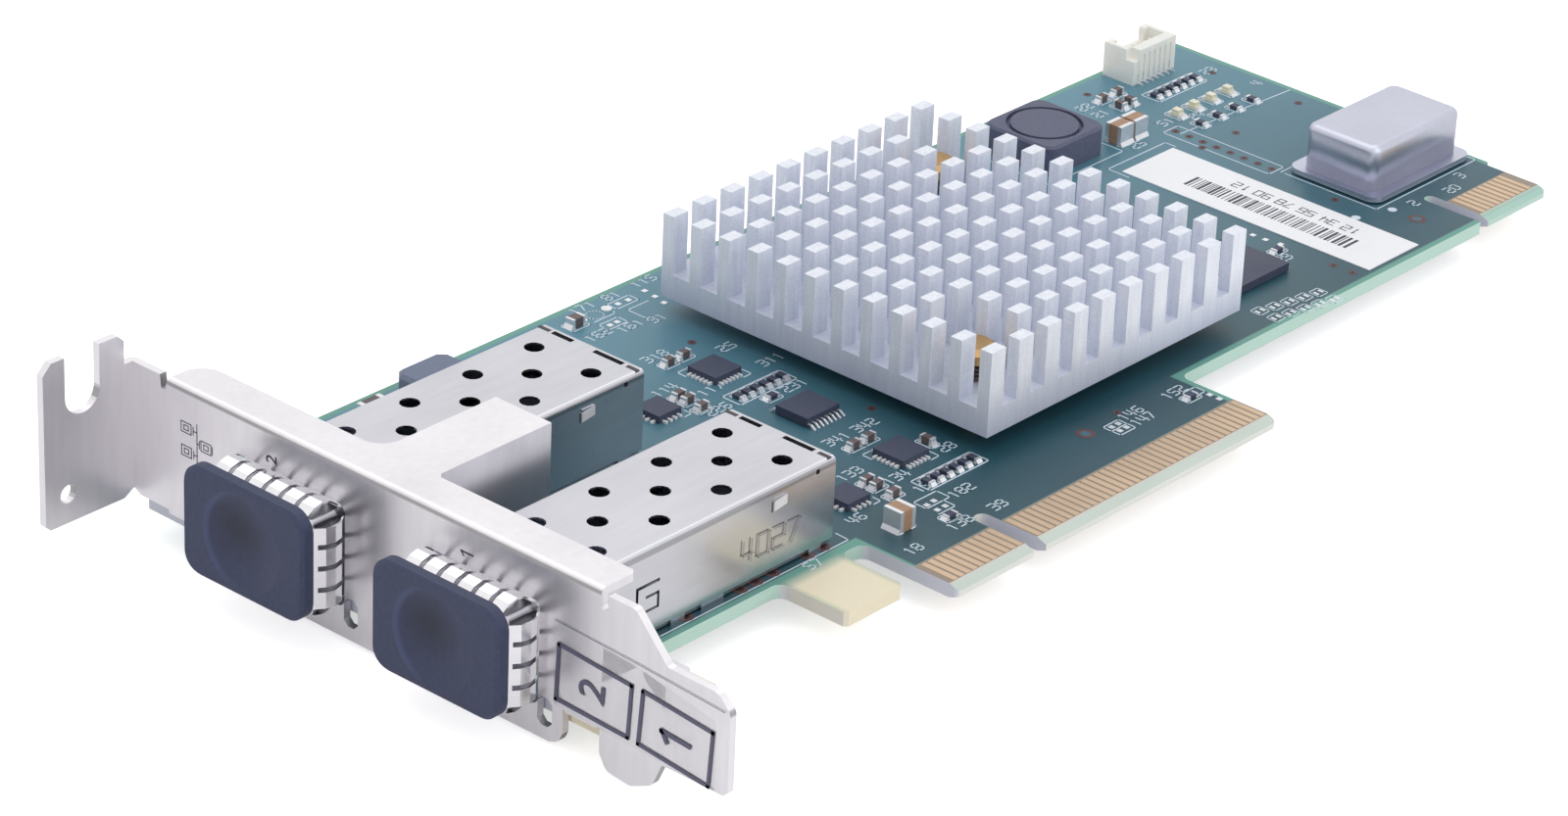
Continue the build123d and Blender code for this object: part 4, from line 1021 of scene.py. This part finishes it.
class CARD_OT_parts(bpy.types.Operator):
    """Finishes the chips, chokes, capacitors, oscillator, header and lamps"""
    bl_idname = "card.parts"
    bl_label = "Small parts"

    def execute(self, context):
        tints = context.scene.card_colours
        package = grained("Package", tints.package, 0.5, 0.0, 2200, 0.15, 0.25)
        dress(package, "interface_chips", "driver_chip", "memory_chip", "controller_package",
              "chip_resistors", "port_1_host_connector", "port_2_host_connector")
        solder = grained("Solder", tints.solder, 0.25, 0.6, 1200, 0.08, 0.2)
        dress(solder, "driver_chip_leads", "memory_chip_leads", "tall_capacitor_ends", "chip_resistor_ends",
              "chip_capacitor_ends", "pin_header_contacts", "indicator_lamp_ends")
        dress(grained("Ceramic", tints.ceramic, 0.55, 0.0, 1500, 0.14, 0.2), "tall_capacitors")
        dress(grained("SmallCeramic", tints.small_ceramic, 0.5, 0.0, 1500, 0.14, 0.2), "chip_capacitors")
        dress(grained("Ferrite", tints.ferrite, 0.55, 0.0, 1800, 0.2, 0.35), "power_choke")
        dress(grained("BlueFerrite", tints.blue_ferrite, 0.55, 0.0, 1800, 0.15, 0.3), "rear_choke")
        steel = grained("Can", tints.can, 0.38, 1.0, 1500, 0.05, 0.1, (1, 1, 0.3), 0.006)
        dress(steel, "oscillator_can", "oscillator_base")
        corner, crown = 1.3 * MM, 0.8 * MM
        can = piece("drawn_can", drawn_can(*corners("oscillator_can"), corner, crown), steel)
        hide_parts("oscillator_can")
        dress(grained("Ivory", tints.ivory, 0.5, 0.0, 900, 0.05, 0.1, Subsurface_Weight=0.2), "pin_header")
        dress(grained("LampResin", tints.resin, 0.2, 0.0, 900, 0.06, 0.1, Coat_Weight=0.5),
              "indicator_lamps")
        dress(grained("LabelPaper", tints.label, 0.45, 0.0, 2500, 0.03, 0.1), "paper_label")
        return {"FINISHED"}


class CARD_OT_plugs(bpy.types.Operator):
    """Finishes the dust plugs"""
    bl_idname = "card.plugs"
    bl_label = "Dust plugs"

    def execute(self, context):
        tints = context.scene.card_colours
        shader = Shader("PlugRubber")
        axes = shader.axes()
        fine = shader.noise(1800, 4.0)
        base = shader.vary(shader.span(fine, 0.3, 0.7), tints.plug, 0.86, 1.1)
        front = shader.gate(shader.facing("X"), 0.5, 0.8)
        bowl = 5.2 * MM
        dark_y, dark_z, dark_core = 1.5 * MM, 0.9 * MM, 0.6 * MM
        for port, y in PORTS.items():
            low, high = corners(f"dust_plug_{port}")
            z = (low.z + high.z) / 2
            reach = shader.from_point(axes, y, z)
            off_centre = shader.from_point(axes, y + dark_y, z + dark_z)
            # Painted shade off the bowl's centre, and a painted highlight on the rim's side towards higher Y.
            bowl_shade = shader.times(shader.gate(reach, bowl, bowl * 0.93),
                               shader.gate(off_centre, bowl * 0.85, dark_core))
            rim = shader.times(shader.gate(reach, bowl * 0.9, bowl * 0.98, bowl, bowl * 1.07),
                              shader.span(axes["Y"], y + 0.5 * MM, y + 4.0 * MM))
            base = shader.mix(shader.times(bowl_shade, front), base, shade(tints.plug, 0.42))
            base = shader.mix(shader.times(rim, front), base, shade(tints.plug, 1.6))
        shader.bump(fine, 0.35, 0.02 * MM)
        dress(shader.finish(base, 0.55), "dust_plug_1", "dust_plug_2")
        return {"FINISHED"}


class CARD_OT_film(bpy.types.Operator):
    """Finishes the clear film on the bracket"""
    bl_idname = "card.film"
    bl_label = "Clear film"

    def execute(self, context):
        film = grained("ClearFilm", context.scene.card_colours.film, 0.18, 0.0, 300, 0.03, 0.1, Alpha=0.05)
        dress(film, "clear_film")
        return {"FINISHED"}


def lamp(name, power, size, place, target):
    """A square soft lamp that points at a target."""
    data = bpy.data.lights.new(name, "AREA")
    data.shape = "SQUARE"
    data.size = size
    data.energy = power
    made = placed(name, data)
    made.location = place
    made.rotation_euler = (Vector(target) - Vector(place)).to_track_quat("-Z", "Y").to_euler()


class CARD_OT_stage(bpy.types.Operator):
    """Lays the pale floor and sets the lamps, the surroundings and the camera"""
    bl_idname = "card.stage"
    bl_label = "Stage"

    def execute(self, context):
        stage = context.scene.card_stage
        low, high = CAD_BOX
        middle = [(low[i] + high[i]) / 2 for i in range(3)]
        mesh = bpy.data.meshes.new("floor")
        reach = 3.0
        square = rectangle(-reach, reach, -reach, reach)
        mesh.from_pydata([(x, y, low[2]) for x, y in square], [], [(0, 1, 2, 3)])
        placed("floor", mesh)
        shader = Shader("Floor")
        path = shader.add("ShaderNodeLightPath").outputs
        mirrored = shader.most(path["Is Glossy Ray"], path["Is Transmission Ray"])
        glow = shader.calc("ADD", shader.times(path["Is Camera Ray"], stage.floor_seen),
                           shader.times(mirrored, stage.floor_mirrored))
        tone = shader.mix(shader.noise(30, 2.0), (0.90, 0.90, 0.91, 1), (0.92, 0.92, 0.93, 1))
        white = (1, 1, 1, 1)
        mesh.materials.append(shader.finish(tone, 0.8, Emission_Color=white, Emission_Strength=glow))

        world = bpy.data.worlds.new("Surroundings")
        context.scene.world = world
        world.use_nodes = True
        tree = world.node_tree
        path = add(tree, "ShaderNodeLightPath").outputs
        bright = path["Is Camera Ray"]
        for ray in ("Is Glossy Ray", "Is Transmission Ray"):
            bright = add(tree, "ShaderNodeMath", {0: bright, 1: path[ray]}, operation="MAXIMUM").outputs[0]
        strength = add(tree, "ShaderNodeMapRange", {"Value": bright, "To Min": stage.ambient, "To Max": 1.0})
        back = tree.nodes["Background"]
        put(tree, back.inputs["Color"], white)
        put(tree, back.inputs["Strength"], strength.outputs[0])

        for name, power, size, dx, dy, z in (("KeyLamp", stage.key, 1.0, 0.1, 0.15, 0.75),
                                             ("FillLamp", stage.fill, 0.8, 0.05, -0.7, 0.35)):
            lamp(name, power, size, (middle[0] + dx, middle[1] + dy, z), middle)

        view = bpy.data.cameras.new("Camera")
        view.lens = stage.focal
        view.sensor_width = 36
        view.sensor_fit = "HORIZONTAL"
        view.shift_x, view.shift_y = stage.shift
        view.clip_start = 0.01
        camera = placed("Camera", view)
        camera.location = stage.place
        camera.rotation_euler = stage.turn
        context.scene.camera = camera
        context.scene.view_settings.view_transform = "Standard"
        return {"FINISHED"}


OPERATORS = (CARD_OT_board, CARD_OT_silkscreen, CARD_OT_plated_holes, CARD_OT_metalwork, CARD_OT_stamp,
             CARD_OT_cooling, CARD_OT_parts, CARD_OT_soldering, CARD_OT_label, CARD_OT_plugs, CARD_OT_film,
             CARD_OT_bracket_print, CARD_OT_stage)


class CARD_PT_sidebar(bpy.types.Panel):
    bl_idname = "CARD_PT_sidebar"
    bl_label = "Network card"
    bl_space_type = "VIEW_3D"
    bl_region_type = "UI"
    bl_category = "Card"

    def draw(self, context):
        for operator in OPERATORS:
            self.layout.operator(operator.bl_idname)
        for group in ("card_colours", "card_sizes", "card_stage"):
            values = getattr(context.scene, group)
            column = self.layout.column(align=True)
            for key in values.bl_rna.properties.keys():
                if key not in ("rna_type", "name"):
                    column.prop(values, key)


GROUPS = {"card_colours": CardColours, "card_sizes": CardSizes, "card_stage": CardStage}


def register():
    for group in GROUPS.values():
        bpy.utils.register_class(group)
    for label, group in GROUPS.items():
        setattr(bpy.types.Scene, label, bpy.props.PointerProperty(type=group))
    for operator in OPERATORS:
        bpy.utils.register_class(operator)
    bpy.utils.register_class(CARD_PT_sidebar)


def unregister():
    bpy.utils.unregister_class(CARD_PT_sidebar)
    for operator in reversed(OPERATORS):
        bpy.utils.unregister_class(operator)
    for label, group in GROUPS.items():
        delattr(bpy.types.Scene, label)
        bpy.utils.unregister_class(group)


def main():
    register()
    bpy.ops.card.board()
    bpy.ops.card.silkscreen()
    bpy.ops.card.plated_holes()
    bpy.ops.card.metalwork()
    bpy.ops.card.stamp()
    bpy.ops.card.cooling()
    bpy.ops.card.parts()
    bpy.ops.card.soldering()
    bpy.ops.card.label()
    bpy.ops.card.plugs()
    bpy.ops.card.film()
    bpy.ops.card.bracket_print()
    bpy.ops.card.stage()


if __name__ == "__main__":
    main()
